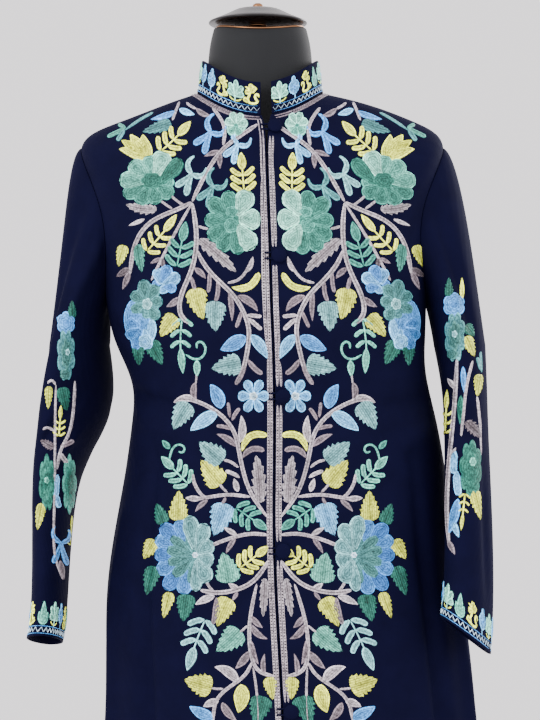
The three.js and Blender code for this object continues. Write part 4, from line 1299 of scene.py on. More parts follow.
# Flower petals of the right front: inner end, outer end, width, thread, order
FRONT_LOBES: Sequence[LobeRow] = (
    (150, 183, 123, 196, 17, TEAL, 0.4), (151, 184, 138, 205, 18, TEAL, 0.5),
    (153, 184, 156, 205, 17, TEAL, 0.4), (156, 184, 173, 197, 17, TEAL, 0.5),
    (150, 181, 119, 180, 20, MINT, 0.65), (151, 180, 130, 162, 20, MINT, 0.75),
    (153, 179, 148, 155, 17, MINT, 0.65), (155, 179, 165, 151, 22, SEAFOAM, 0.75),
    (158, 186, 182, 159, 17, GREEN, 0.9),
    (231, 221, 228, 190, 18, TEAL, 0.5), (230, 221, 209, 198, 18, TEAL, 0.6),
    (230, 223, 204, 219, 17, TEAL, 0.5), (230, 224, 208, 239, 18, TEAL, 0.6),
    (232, 226, 220, 252, 18, TEAL, 0.5), (234, 226, 239, 255, 17, TEAL, 0.6),
    (237, 217, 249, 190, 21, SEAFOAM, 0.8), (238, 220, 261, 219, 22, SEAFOAM, 0.9),
    (237, 224, 253, 250, 22, SEAFOAM, 0.8),
    (236, 126, 225, 120, 10, SEAFOAM, 0.5), (236, 126, 232, 112, 9, SEAFOAM, 0.55),
    (236, 126, 242, 113, 9, SEAFOAM, 0.5), (236, 126, 248, 122, 10, SEAFOAM, 0.55),
    (236, 126, 240, 136, 10, MINT, 0.5), (236, 126, 229, 135, 10, MINT, 0.5),
    (147, 303, 131, 293, 13, SLATE, 0.6), (147, 303, 143, 279, 14, SLATE, 0.65),
    (147, 303, 158, 284, 14, SLATE, 0.6), (147, 304, 163, 300, 13, SLATE, 0.65),
    (147, 304, 131, 311, 12, SLATE, 0.6), (148, 304, 158, 320, 13, SLATE, 0.6),
    (161, 285, 157, 268, 13, SKY, 0.4), (161, 284, 169, 265, 14, BLUE, 0.5),
    (162, 285, 180, 275, 14, SKY, 0.4), (162, 287, 177, 288, 12, BLUE, 0.5),
    (160, 286, 152, 283, 9, BLUE, 0.5), (162, 285, 165, 294, 10, SKY, 0.4),
    (142, 326, 126, 321, 13, BLUE, 0.4), (142, 328, 126, 337, 13, BLUE, 0.45),
    (142, 328, 135, 350, 13, BLUE, 0.4), (145, 328, 149, 350, 13, SKY, 0.45),
    (185, 543, 179, 519, 16, BLUE, 0.4), (182, 546, 161, 524, 17, DEEP_BLUE, 0.45),
    (180, 550, 155, 538, 17, BLUE, 0.4), (180, 556, 154, 554, 17, DEEP_BLUE, 0.45),
    (180, 560, 157, 572, 17, BLUE, 0.4), (183, 566, 165, 590, 17, DEEP_BLUE, 0.45),
    (187, 568, 183, 595, 17, BLUE, 0.4),
    (194, 555, 170, 536, 13, SLATE, 0.65), (194, 556, 166, 549, 14, SLATE, 0.75),
    (194, 556, 167, 563, 14, SLATE, 0.65), (194, 557, 173, 577, 14, SLATE, 0.75),
    (196, 558, 191, 585, 13, SLATE, 0.65),
    (195, 551, 189, 515, 18, GREY_TEAL, 0.9), (196, 552, 206, 523, 17, GREY_TEAL, 0.8),
    (197, 554, 213, 542, 17, GREY_TEAL, 0.9), (197, 556, 213, 564, 19, GREY_TEAL, 0.8),
    (197, 558, 208, 583, 19, GREY_TEAL, 0.9), (196, 559, 196, 592, 14, GREY_TEAL, 0.8),
)

# Flower centres of the right front, as the round patches above
FRONT_CENTRES: Sequence[BloomRow] = (
    (152, 181, 12, 9, 6, 0, GREEN, 1.15), (151, 182, 4.5, 3.6, 5, 0, GREEN, 1.3),
    (232, 212, 7.5, 6.5, 5, 0, TEAL, 1.1), (231, 226, 8, 8.5, 5, 40, TEAL, 1.2),
    (236, 126, 3.4, 3, 5, 0, TEAL, 0.9), (148, 304, 6, 7, 5, 0, GREY_TEAL, 1.0),
    (146, 341, 8, 8, 5, 0, SKY, 0.8), (195.5, 555, 3.6, 3.6, 6, 0, LIGHT_BLUE, 1.3),
    (253.5, 396, 5, 5, 5, 0, LIGHT_BLUE, 1.0), (243, 812, 5, 5, 5, 0, BLUE, 0.8),
)


@dataclass
class FrontEmbroidery:
    """The flowers, leaves and stems of the two fronts, and the bands along their edges.

    The layout is drawn on the right front in the photograph's pixels and mirrored about the
    closure for the left one.
    """

    body: BodyCloth
    thread: Material
    button_heights: Sequence[float]
    stem_share: float = 0.92  # of the widths in the table
    from_closure: float = 1.6  # the least distance in pixels
    band_width: float = 6.4
    band_inset: float = 0.9
    button_room: float = 8.5  # how far from a button's middle the left band stops
    drawing: Stitching = field(default_factory=lambda: Stitching(MM_PER_PIXEL))

    def draw(self) -> None:
        """Adds the layout's stems, leaves, flowers and flower centres to the drawing."""
        self.drawing.stems(FRONT_STEMS, PALE, self.stem_share)
        self.drawing.stems(FRONT_CURLS, MINT, self.stem_share)
        self.drawing.motifs(FRONT_MOTIFS)
        for x, y, rx, ry, lobes, turn, thread, order in FRONT_BLOOMS:
            self.drawing.bloom((x, y), (rx, ry), lobes, turn, thread, order)
        for x0, y0, x1, y1, width, thread, order in FRONT_LOBES:
            self.drawing.motif(LOBE, (x0, y0), (x1, y1), width, 0, thread, order)
        self.drawing.fan((253.5, 396.0), (16, 18.5), -90, 360, 6, SKY, order=0.4, wide=0.58)
        for x, y, rx, ry, lobes, turn, thread, order in FRONT_CENTRES:
            self.drawing.bloom((x, y), (rx, ry), lobes, turn, thread, order)

    def closure_line(self) -> tuple[Array, Array]:
        """The closure's pixel rows and columns, from the neck to the hem."""
        places = np.linspace(0, self.body.last, 400)
        angle = (self.body.closure(1, places) + self.body.closure(-1, places)) / 2
        px, py = photo_pixel(self.body.point(angle, places))
        return py, px

    def build(self) -> list[Piece]:
        """Lays the drawing on both fronts, and the bands beside the closure."""
        self.draw()
        visible = math.radians(96)
        chart = PhotoChart(self.body, (-visible, visible), (0.0, self.body.last), rows=1180)
        rows, columns = self.closure_line()
        pieces = []
        for side, name in ((-1, "embroidery_front_right"), (1, "embroidery_front_left")):
            def place(px: Array, py: Array, side: int = side) -> tuple[Array, Array]:
                middle = np.interp(py, rows, columns)
                return chart(middle + side * np.maximum(middle - px, self.from_closure), py)

            pieces.append(settle(self.drawing.lay(name, self.body, place, self.thread), "wool"))
        for side, name in ((-1, "band_right"), (1, "band_left")):
            pieces.append(settle(self.band(name, side), "wool"))
        return pieces

    def band(self, name: str, side: int) -> Piece:
        """Two rows of chain stitch beside a front's edge, with dark needle holes.

        On the left front the band stops at each button.
        """
        drawing = Stitching(1.0, relief=0.8)
        places = np.linspace(0, self.body.last, 600)
        heights = self.body.plain(self.body.closure(side, places), places)[:, 2]
        stops = self.button_heights if side > 0 else ()
        breaks = [z + room for z in stops for room in (self.button_room, -self.button_room)]
        cuts = [heights[0] - 3, *breaks, heights[-1] + 4]
        for high, low in zip(cuts[0::2], cuts[1::2]):
            if high - low < 6:
                continue
            z = np.linspace(high, low, max(8, int((high - low) / 3)))
            for offset in (0.25, 0.75):
                middle = self.band_inset + offset * self.band_width
                route = np.stack(np.broadcast_arrays(middle, z), axis=1)
                drawing.line(route, self.band_width * 0.48, PALE, core=0.8, holes=0.95)

        def place(offset: Array, z: Array) -> tuple[Array, Array]:
            v = np.interp(-z, -heights, places)
            edge = self.body.closure(side, v)
            return edge + side * offset / self.body.speed(edge, v), v

        return drawing.lay(name, self.body, place, self.thread)


@dataclass
class Border:
    """The scrolling border of the collar and cuffs: lotuses, leaves and scrolls over a zigzag.

    It is drawn in millimetres, along the edge and away from it.
    """

    length: float
    closed: bool
    zigzag_pitch: float = 6.6
    zigzag_low: float = 1.6
    zigzag_high: float = 8.4
    line_width: float = 1.3
    pitch: float = 18.8
    drawing: Stitching = field(default_factory=lambda: Stitching(1.0, relief=0.6))

    def rule(self, s: Array, h: Array, thread: Thread, order: float) -> None:
        """Adds a narrow line through places along the edge and away from it."""
        route = np.stack(np.broadcast_arrays(s, h), axis=1)
        self.drawing.line(route, self.line_width, thread, order, columns=3)

    def draw(self) -> Stitching:
        """The two lines and the zigzag between them, then the row of motifs above."""
        s = np.linspace(0.5, self.length - 0.5, int(self.length / 3))
        for h in (self.zigzag_low, self.zigzag_high):
            self.rule(s, h, BLUE, 0.0)
        waves = int(self.length / self.zigzag_pitch)
        s = np.linspace(0.5, self.length - 0.5, waves * 8 + 1)
        rise = np.abs(np.mod(np.linspace(0, waves, len(s)), 1) * 2 - 1)
        h = self.zigzag_low + 1.2 + (self.zigzag_high - self.zigzag_low - 2.4) * rise
        self.rule(s, h, LIGHT_BLUE, 0.1)
        count = int(round(self.length / self.pitch))
        order = [(self.lotus, self.leaf, self.scroll, self.flame)[k % 4] for k in range(count)]
        if not self.closed:
            order[-4:] = [self.leaf, self.scroll, self.lotus, self.scroll_back]
        for k, motif in enumerate(order):
            motif((k + 0.5) * self.length / count)
        return self.drawing

    def lotus(self, x: float) -> None:
        """Five round petals that open like a fan on a short stalk, over two curled leaves."""
        foot = np.array([x, 15.0])
        self.drawing.stem(((x, 8), (x, 12), (x, 17)), 2.2, SEAFOAM, 0.1)
        for way in (-1, 1):
            self.drawing.stem(((x, 10.5), (x + way * 4, 10.5), (x + way * 8.5, 14)), 1.9, YELLOW)
        for order, angle, reach in ((0.2, 22, 11.5), (0.2, 158, 11.5), (0.35, 55, 15.5),
                                    (0.35, 125, 15.5), (0.5, 90, 18)):
            way = np.array([math.cos(math.radians(angle)), math.sin(math.radians(angle))])
            self.drawing.motif(LOBE, foot, foot + way * reach, 7.4, 0, SEAFOAM, order)

    def leaf(self, x: float) -> None:
        """A blue flower of six lobes with a taller one on top."""
        self.drawing.stem(((x, 8), (x + 0.5, 11), (x, 15)), 2.0, SKY)
        self.drawing.fan((x, 21.0), (7.8, 8.5), 0, 360, 6, SKY, 0.1, 1.05)
        self.drawing.bloom((x, 20.5), (3.2, 3.2), 5, 90, BLUE, 0.7)
        self.drawing.motif(LOBE, (x, 23.0), (x, 33.0), 6.5, 0, SKY, 0.4)

    def flame(self, x: float) -> None:
        """A pale green pointed leaf between two small ones."""
        for way, reach in ((-5.5, 22), (5.5, 22), (0, 32)):
            self.drawing.motif(PETAL, (x, 9.5), (x + way, reach), 8, 0, MINT, 0.2)

    def scroll(self, x: float, way: float = 1.0) -> None:
        """A yellow S of two curls with a head of three round leaves, and a fourth at its foot."""
        curls = ((-8, 17), (-7, 22), (-3, 20), (-4, 15.5), (-8, 12.5), (-2, 10), (4, 11), (5, 16),
                 (1, 21), (3, 27), (9, 28))
        self.drawing.stem([(x + way * a, h) for a, h in curls], 3.2, YELLOW, 0.1)
        for a0, h0, a1, h1, wide in ((1.5, 22, -4.5, 29, 6), (1.5, 22, 1, 32, 6), (1.5, 22, 8, 22.5, 5.5),
                                     (2, 12, 9.5, 15, 5.5)):
            self.drawing.motif(FINGER, (x + way * a0, h0), (x + way * a1, h1), wide, 0, YELLOW, 0.2)

    def scroll_back(self, x: float) -> None:
        """The same scroll, turned to the other side."""
        self.scroll(x, -1.0)


# Motifs of the sleeves as seen in the photograph: kind, base, tip, width, bend, thread
LEFT_SLEEVE_MOTIFS: Sequence[MotifRow] = (
    (LEAF, 449, 297, 449, 276, 10, 0, GREEN), (PETAL, 462, 300, 462, 277, 5, 0, YELLOW),
    (LEAF, 465, 325, 475, 337, 13, 0, GREEN), (LEAF, 466, 336, 475, 358, 13, 0, YELLOW),
    (FINGER, 482, 373, 481, 351, 4, 0, SLATE), (FINGER, 482, 372, 477, 357, 4, 0, SLATE),
    (PETAL, 456, 389, 447, 378, 6, 0, PALE), (PETAL, 463, 366, 464, 393, 6, 0, BLUE),
    (FERN, 445, 433, 447, 389, 15, 0, YELLOW), (LEAF, 480, 374, 477, 398, 12, 0, YELLOW),
    (PETAL, 461, 395, 460, 425, 7, 0, GREEN), (FEATHER, 466, 421, 482, 438, 12, 0, MAUVE),
    (FINGER, 455, 450, 454, 474, 8, 1, SKY), (FINGER, 457, 470, 459, 496, 8, 1, SKY),
    (LEAF, 474, 490, 482, 522, 14, 0, YELLOW), (FERN, 465, 494, 461, 531, 12, 0, YELLOW),
    (PETAL, 458, 498, 448, 535, 10, -1, BLUE), (PETAL, 452, 520, 459, 538, 7, 0, SKY),
    (PETAL, 448, 540, 455, 555, 6, 0, MAUVE), (PETAL, 449, 461, 456, 447, 5, 0, PALE),
)
LEFT_SLEEVE_STEMS: Sequence[StemRow] = (
    (4.8, ((457, 358), (455, 400), (452, 430), (448, 470), (446, 510), (449, 545))),
    (3.4, ((473, 360), (466, 385), (464, 410), (461, 437))), (3.0, ((477, 396), (480, 420), (482, 456))),
)
LEFT_SLEEVE_BLOOMS: Sequence[BloomRow] = (
    (454, 305, 11.5, 13, 6, 90, BLUE, 0.0), (455, 336, 11, 27, 8, 20, SLATE, 0.2),
    (455, 334, 3.5, 5, 5, 0, GREY_TEAL, 0.9), (453, 354, 6, 6, 5, 0, MOSS, 0.7),
    (471, 469, 12, 30, 8, 10, GREEN, 0.2), (472, 462, 4, 6, 6, 0, MINT, 0.9),
)
RIGHT_SLEEVE_MOTIFS: Sequence[MotifRow] = (
    (LEAF, 72, 318, 72, 299, 10, 0, GREEN), (LEAF, 49, 386, 48, 411, 9, 0, YELLOW),
    (LEAF, 62, 387, 67, 413, 15, 0, GREEN), (FERN, 59, 436, 61, 405, 13, 0, YELLOW),
    (FEATHER, 54, 448, 40, 440, 9, 0, MAUVE), (FINGER, 60, 452, 68, 463, 5, 1, PALE),
    (FINGER, 60, 446, 74, 440, 5, 1, MAUVE), (FINGER, 58, 474, 56, 497, 7, 1, SKY),
    (FINGER, 57, 494, 60, 508, 6, 1, SKY), (LEAF, 42, 503, 37, 532, 11, 0, YELLOW),
    (SWALLOW, 61, 543, 60, 567, 16, 0, BLUE), (PETAL, 60, 560, 64, 580, 6, 0, MAUVE),
    (FERN, 71, 545, 72, 515, 8, 0, YELLOW),
)
RIGHT_SLEEVE_STEMS: Sequence[StemRow] = (
    (3.6, ((75, 380), (74, 410), (70, 435), (60, 448), (57, 470))),
    (2.8, ((56, 384), (55, 420), (55, 470), (54, 520), (53, 555), (63, 580))),
    (3.0, ((47, 384), (52, 378), (56, 386))), (3.2, ((42, 430), (48, 426), (55, 432))),
)
RIGHT_SLEEVE_BLOOMS: Sequence[BloomRow] = (
    (66, 323, 9.5, 12, 6, 90, BLUE, 0.0), (66, 354, 9.5, 28, 8, 20, SLATE, 0.2),
    (67, 352, 3, 5, 5, 0, GREY_TEAL, 0.9), (65, 374, 5.5, 6, 5, 0, MOSS, 0.7),
    (47, 483, 8.5, 30, 7, 10, GREEN, 0.2), (46, 480, 3, 5, 5, 0, MINT, 0.9),
    (69.5, 484, 7.5, 31, 8, 0, TEAL, 0.2),
)
SLEEVE_LAYOUTS = {
    "left": (LEFT_SLEEVE_STEMS, LEFT_SLEEVE_MOTIFS, LEFT_SLEEVE_BLOOMS),
    "right": (RIGHT_SLEEVE_STEMS, RIGHT_SLEEVE_MOTIFS, RIGHT_SLEEVE_BLOOMS),
}


# Sub-assemblies


@dataclass
class Coat:
    """The coat: its wool panels, sleeves and collar, and everything sewn on them."""

    wool: Material
    thread: Material
    wall: float = 2.0
    cuff_grow: float = 1.12  # how much taller the border is on the cuffs
    button_heights: tuple[float, ...] = (1357, 1219, 1075, 915, 751, 590, 430)
    button_radius: float = 8.0
    button_from_closure: float = 9.0
    shank_radius: float = 2.0
    # Distances from the cloth: the shank's foot, the dome's underside and rim, and its rise
    button_profile: tuple[float, float, float, float] = (0.5, 3.1, 3.9, 3.6)
    cord_radius: float = 0.95
    cord_height: float = 1.65
    # Sleeve flowers of more than this half height in pixels have a second round of petals
    tall_flower: float = 20.0
    tall_notch: float = 0.24
    inner_round: tuple[float, float] = (0.62, 0.66)  # its size, as shares across and up
    outer_turn: float = 0.12  # a share of a turn, outside which sleeve flowers are squeezed
    outer_squeeze: float = 0.4  # what they are squeezed to there
    body: BodyCloth = field(default_factory=BodyCloth)
    # z, out, y, half_in, half_deep, turn, inner_rise, front_rise
    left_sleeve: Array = field(default_factory=lambda: np.array([
        [1128, 215.3, -10, 28, 66, -3, 0, 0], [1080, 220.0, -24, 24, 62, -5, 0, 0],
        [1030, 219.5, -44, 23.5, 58, -9, 0, 0], [960, 219.0, -70, 24, 53, -14, 2, 1],
        [890, 218.0, -91, 24, 50, -18, 6, 6], [845, 215.0, -100, 24.5, 50, -18, 12, 12],
        [825, 212.5, -104, 25, 50, -17, 16, 16],
    ]))
    right_sleeve: Array = field(default_factory=lambda: np.array([
        [1128, 199, -10, 25, 64, 17, 0, 0], [1095, 198.5, -13, 23, 63, 26, 0, 0],
        [1058, 201, -16, 22, 62, 30, 0, 0], [1030, 208.6, -18, 21, 61, 24, 0, 0],
        [1005, 216.5, -21, 20, 60, 18, 0, 0], [980, 222.5, -24, 19.5, 59, 11, 0, 0],
        [940, 226, -28, 19, 58, 6, 0, 1], [880, 227.5, -34, 17.5, 57, 4, 0, 5],
        [835, 229, -38, 17.5, 56, 3, 0, 10], [811, 233, -40, 17.8, 56, 2, 0, 13],
    ]))
    left_creases: Sequence[Crease] = (
        Crease(0.2, 1290, 0.17, 1120, 9, -6.0), Crease(0.42, 1085, 0.22, 1034, 7, -6.0),
        Crease(0.4, 1024, 0.2, 976, 7, -5.5), Crease(0.38, 1052, 0.26, 1008, 7, 4.2),
        Crease(0.09, 1000, 0.05, 860, 8, -3.1), Crease(0.68, 1064, 0.88, 1008, 8, -4.2),
        Crease(0.64, 1020, 0.84, 966, 8, -3.6), Crease(0.82, 1290, 0.86, 1140, 10, -3.6),
    )
    right_creases: Sequence[Crease] = (
        Crease(0.17, 1300, 0.14, 1080, 10, -6.0), Crease(0.43, 1070, 0.24, 1018, 7, -6.5),
        Crease(0.46, 1036, 0.3, 988, 7, 4.6), Crease(0.41, 1000, 0.2, 958, 7, -5.6),
        Crease(0.12, 940, 0.1, 830, 7, -3.1), Crease(0.32, 1290, 0.28, 1130, 9, 5.0),
        Crease(0.68, 1060, 0.88, 1004, 8, -4.5), Crease(0.66, 1012, 0.86, 958, 8, -3.6),
        Crease(0.82, 1290, 0.86, 1140, 10, -3.9),
    )

    def build(self) -> list[Piece]:
        """Makes every piece of the coat."""
        pieces = self.panels()
        fronts = FrontEmbroidery(self.body, self.thread, self.button_heights).build()
        sleeves = [*self.sleeve("left", 1, self.left_sleeve, self.left_creases),
                   *self.sleeve("right", -1, self.right_sleeve, self.right_creases)]
        return [*pieces.values(), *fronts, *sleeves, *self.collar(), *self.fastenings()]

    def cloth(self, name: str, surface: Surface, u: Array, v: Array, wrap: bool = False) -> Piece:
        """One wall of wool that stands for its solid, with edges that are a little rounded."""
        piece = cloth_wall(f"cloth_{name}", surface, u, v, self.wall, self.wool, wrap)
        soften(piece, 0.8)
        return settle(piece, "wool", name)

    def panels(self) -> dict[str, Piece]:
        """The two fronts and the back, each between two edges of the body's rings."""
        body = self.body
        places = np.concatenate([
            np.linspace(0, body.shoulder_row, 44, endpoint=False),
            body.armhole_place(np.linspace(0, 1, 64)),
            np.linspace(body.armpit_row, body.last, 150)[1:],
        ])
        edges = {
            "front_left": (body.closure(1, places), body.front_edge(1, places), 62),
            "front_right": (body.front_edge(-1, places), body.closure(-1, places), 62),
            "back": (body.back_edge(1, places), body.back_edge(-1, places) + 2 * np.pi, 120),
        }
        pieces = {}
        for name, (low, high, columns) in edges.items():
            u = low[:, None] + (high - low)[:, None] * np.linspace(0, 1, columns)
            pieces[name] = self.cloth(name, body, u, np.broadcast_to(places[:, None], u.shape))
        return pieces

    def sleeve(self, name: str, side: int, rows: Array, creases: Sequence[Crease]) -> list[Piece]:
        """A sleeve with its flowers and its cuff border."""
        sleeve = SleeveCloth(self.body, side, rows, creases)
        downs = np.concatenate([np.linspace(-1, 0, 44, endpoint=False), np.linspace(0, sleeve.last, 96)])
        v, u = np.meshgrid(downs, np.linspace(0, 1, 96, endpoint=False), indexing="ij")
        piece = self.cloth(f"sleeve_{name}", sleeve, u, v, wrap=True)
        chart = PhotoChart(sleeve, (-0.03, 0.53), (-0.6, sleeve.last), grid=(400, 1200))

        def place(px: Array, py: Array) -> tuple[Array, Array]:
            turn, row = chart(px, py)
            drawn_in = self.outer_turn - self.outer_squeeze * (self.outer_turn - turn)
            return np.where(turn < self.outer_turn, drawn_in, turn), row

        drawing = self.sleeve_drawing(*SLEEVE_LAYOUTS[name])
        flowers = settle(drawing.lay(f"embroidery_sleeve_{name}", sleeve, place, self.thread), "wool")
        cuff = settle(self.cuff_border(name, sleeve), "wool")
        return [piece, flowers, cuff]

    def sleeve_drawing(self, stems: Sequence[StemRow], motifs: Sequence[MotifRow],
                       blooms: Sequence[BloomRow]) -> Stitching:
        """A sleeve's layout, in which a tall flower has a second, smaller round of petals."""
        drawing = Stitching(MM_PER_PIXEL)
        drawing.stems(stems)
        drawing.motifs(motifs)
        for x, y, rx, ry, lobes, turn, thread, order in blooms:
            if ry > self.tall_flower:
                inner = (rx * self.inner_round[0], ry * self.inner_round[1])
                notch = self.tall_notch
                drawing.bloom((x, y), (rx, ry), lobes, turn, thread, order, notch)
                drawing.bloom((x, y), inner, lobes - 2, turn, DEEPER[thread], order + 0.5, notch)
            else:
                drawing.bloom((x, y), (rx, ry), lobes, turn, thread, order + 0.4 * (order > 0))
        return drawing

    def collar(self) -> list[Piece]:
        """The standing collar, its border, and the stitched cord below its seam."""
        collar = CollarCloth(self.body)
        v, u = np.meshgrid(np.linspace(0, 1, 14), np.linspace(*collar.ends(), 150), indexing="ij")
        piece = self.cloth("collar", collar, u, v)
        border, seam = self.collar_border(collar)
        return [piece, border, seam]

    def cuff_border(self, name: str, sleeve: SleeveCloth) -> Piece:
        """The border round a cuff: lengths round the hem and up the sleeve become turn and row."""
        turns = np.linspace(0, 1, 721)
        round_hem = running_length(sleeve.plain(turns, np.full(turns.shape, sleeve.last)))
        rows = np.linspace(sleeve.last - 2.5, sleeve.last, 200)
        lines = sleeve.plain(*np.meshgrid(turns[::12], rows, indexing="ij"))
        up = running_length(lines[:, ::-1], 1)[:, ::-1]

        def place(s: Array, h: Array) -> tuple[Array, Array]:
            turn = np.interp(np.mod(s, round_hem[-1]), round_hem, turns)
            column = np.clip(np.round(turn * (len(up) - 1)).astype(int), 0, len(up) - 1)
            high = np.clip(h * self.cuff_grow + 1.0, 0, None)
            k = np.clip((up[column] > high[:, None]).sum(axis=1), 1, len(rows) - 1)
            over, under = up[column, k - 1], up[column, k]
            share = (over - high) / np.maximum(over - under, 1e-9)
            return turn, rows[k - 1] + (rows[k] - rows[k - 1]) * np.clip(share, 0, 1)

        return Border(round_hem[-1], True).draw().lay(f"border_cuff_{name}", sleeve, place, self.thread)

    def collar_border(self, collar: CollarCloth) -> tuple[Piece, Piece]:
        """The collar's border, and the grey cord of stitches under its seam."""
        angles = np.linspace(*collar.ends(), 1200)
        length = running_length(collar.point(angles, np.full(angles.shape, 0.3)))

        def place(s: Array, h: Array) -> tuple[Array, Array]:
            return np.interp(s, length, angles), (h + 0.8) / collar.height

        border = Border(length[-1], False).draw().lay("border_collar", collar, place, self.thread)
        settle(border, "wool")
        drawing = Stitching(1.0, relief=0.9)
        s = np.linspace(1, length[-1] - 1, 320)
        for low in (2.6, 5.6):
            route = np.stack(np.broadcast_arrays(s, low), axis=1)
            drawing.line(route, 3.2, MAUVE, core=0.4, holes=0.7)
        below_seam = self.body.plain(angles, np.full(angles.shape, 0.4))
        step = np.linalg.norm(below_seam - self.body.plain(angles, np.zeros(angles.shape)), axis=1) / 0.4

        def below(s: Array, h: Array) -> tuple[Array, Array]:
            return np.interp(s, length, angles), h / np.interp(s, length, step)

        return border, settle(drawing.lay("band_neck", self.body, below, self.thread), "wool")

    def frames(self) -> list[Frame]:
        """Each button's place on the cloth: origin, across, up and out."""
        places = np.linspace(0, self.body.last, 4000)
        angle = self.body.angle_at_x(self.body.ring(places)[:, 7] + self.button_from_closure, places)
        points, normals = self.body.plain(angle, places), self.body.normal(angle, places)
        frames = []
        for z in self.button_heights:
            k = int(np.argmin(np.abs(points[:, 2] - z)))
            across = np.cross([0, 0, 1], normals[k])
            across /= np.linalg.norm(across)
            frames.append((points[k], across, np.cross(normals[k], across), normals[k]))
        return frames

    def fastenings(self) -> list[Piece]:
        """The covered buttons and the cord loops round their shanks."""
        pieces = []
        for k, frame in enumerate(self.frames(), start=1):
            pieces.append(settle(self.button(f"covered_button_{k}", frame), "wool", f"button_{k}"))
            pieces.append(settle(self.loop(f"cord_loop_{k}", frame), "wool", f"loop_{k}"))
        return pieces

    def button(self, name: str, frame: Frame) -> Piece:
        """A shank under a dome of cloth: a profile turned about the cloth's normal.

        The dome is a half ellipse over a flat underside, and its cover is puckered nine times.
        """
        tilt = np.radians(np.linspace(90, 4, 12))
        foot, under, rim, rise = self.button_profile
        shank, dome = self.shank_radius, self.button_radius
        radius = np.concatenate([[shank, shank, dome - 1.2], dome * np.sin(tilt)])
        height = np.concatenate([[foot, under, under], rim + rise * np.cos(tilt)])
        angle = turn_angles(48)
        pucker = 1 + 0.012 * np.cos(9 * angle)[None, :] * (radius > shank + 1)[:, None]
        a = radius[:, None] * pucker * np.cos(angle)
        b = radius[:, None] * pucker * np.sin(angle)
        origin, across, up, out = frame
        points = origin + a[..., None] * across + b[..., None] * up + height[:, None, None] * out
        uv = np.vstack([np.stack([a.ravel(), b.ravel()], axis=1), np.zeros((2, 2))])
        return closed_tube(name, points, [origin + foot * out, origin + (rim + rise) * out], self.wool, uv)

    def loop(self, name: str, frame: Frame) -> Piece:
        """A cord from the right front round the shank and back: a circle carried along the route."""
        edge = -self.button_from_closure
        tail = edge - 6.0
        knots = [(tail, 3), (edge, 3), (2.2, 3.8), (4.4, 0), (2.2, -3.8), (edge, -3), (tail, -3)]
        route = spline(np.array(knots), np.linspace(0, len(knots) - 1, 60))
        angle = turn_angles(10)
        aside = sideways(route)[:, None, :] * (self.cord_radius * np.cos(angle))[None, :, None]
        flat = route[:, None, :] + aside
        high = self.cord_height + self.cord_radius * np.sin(angle)
        origin, across, up, out = frame
        points = origin + flat[..., :1] * across + flat[..., 1:] * up + high[None, :, None] * out
        uv = np.zeros((len(angle) * len(route) + 2, 2))
        return closed_tube(name, points, points[[0, -1]].mean(axis=1), self.wool, uv, False)


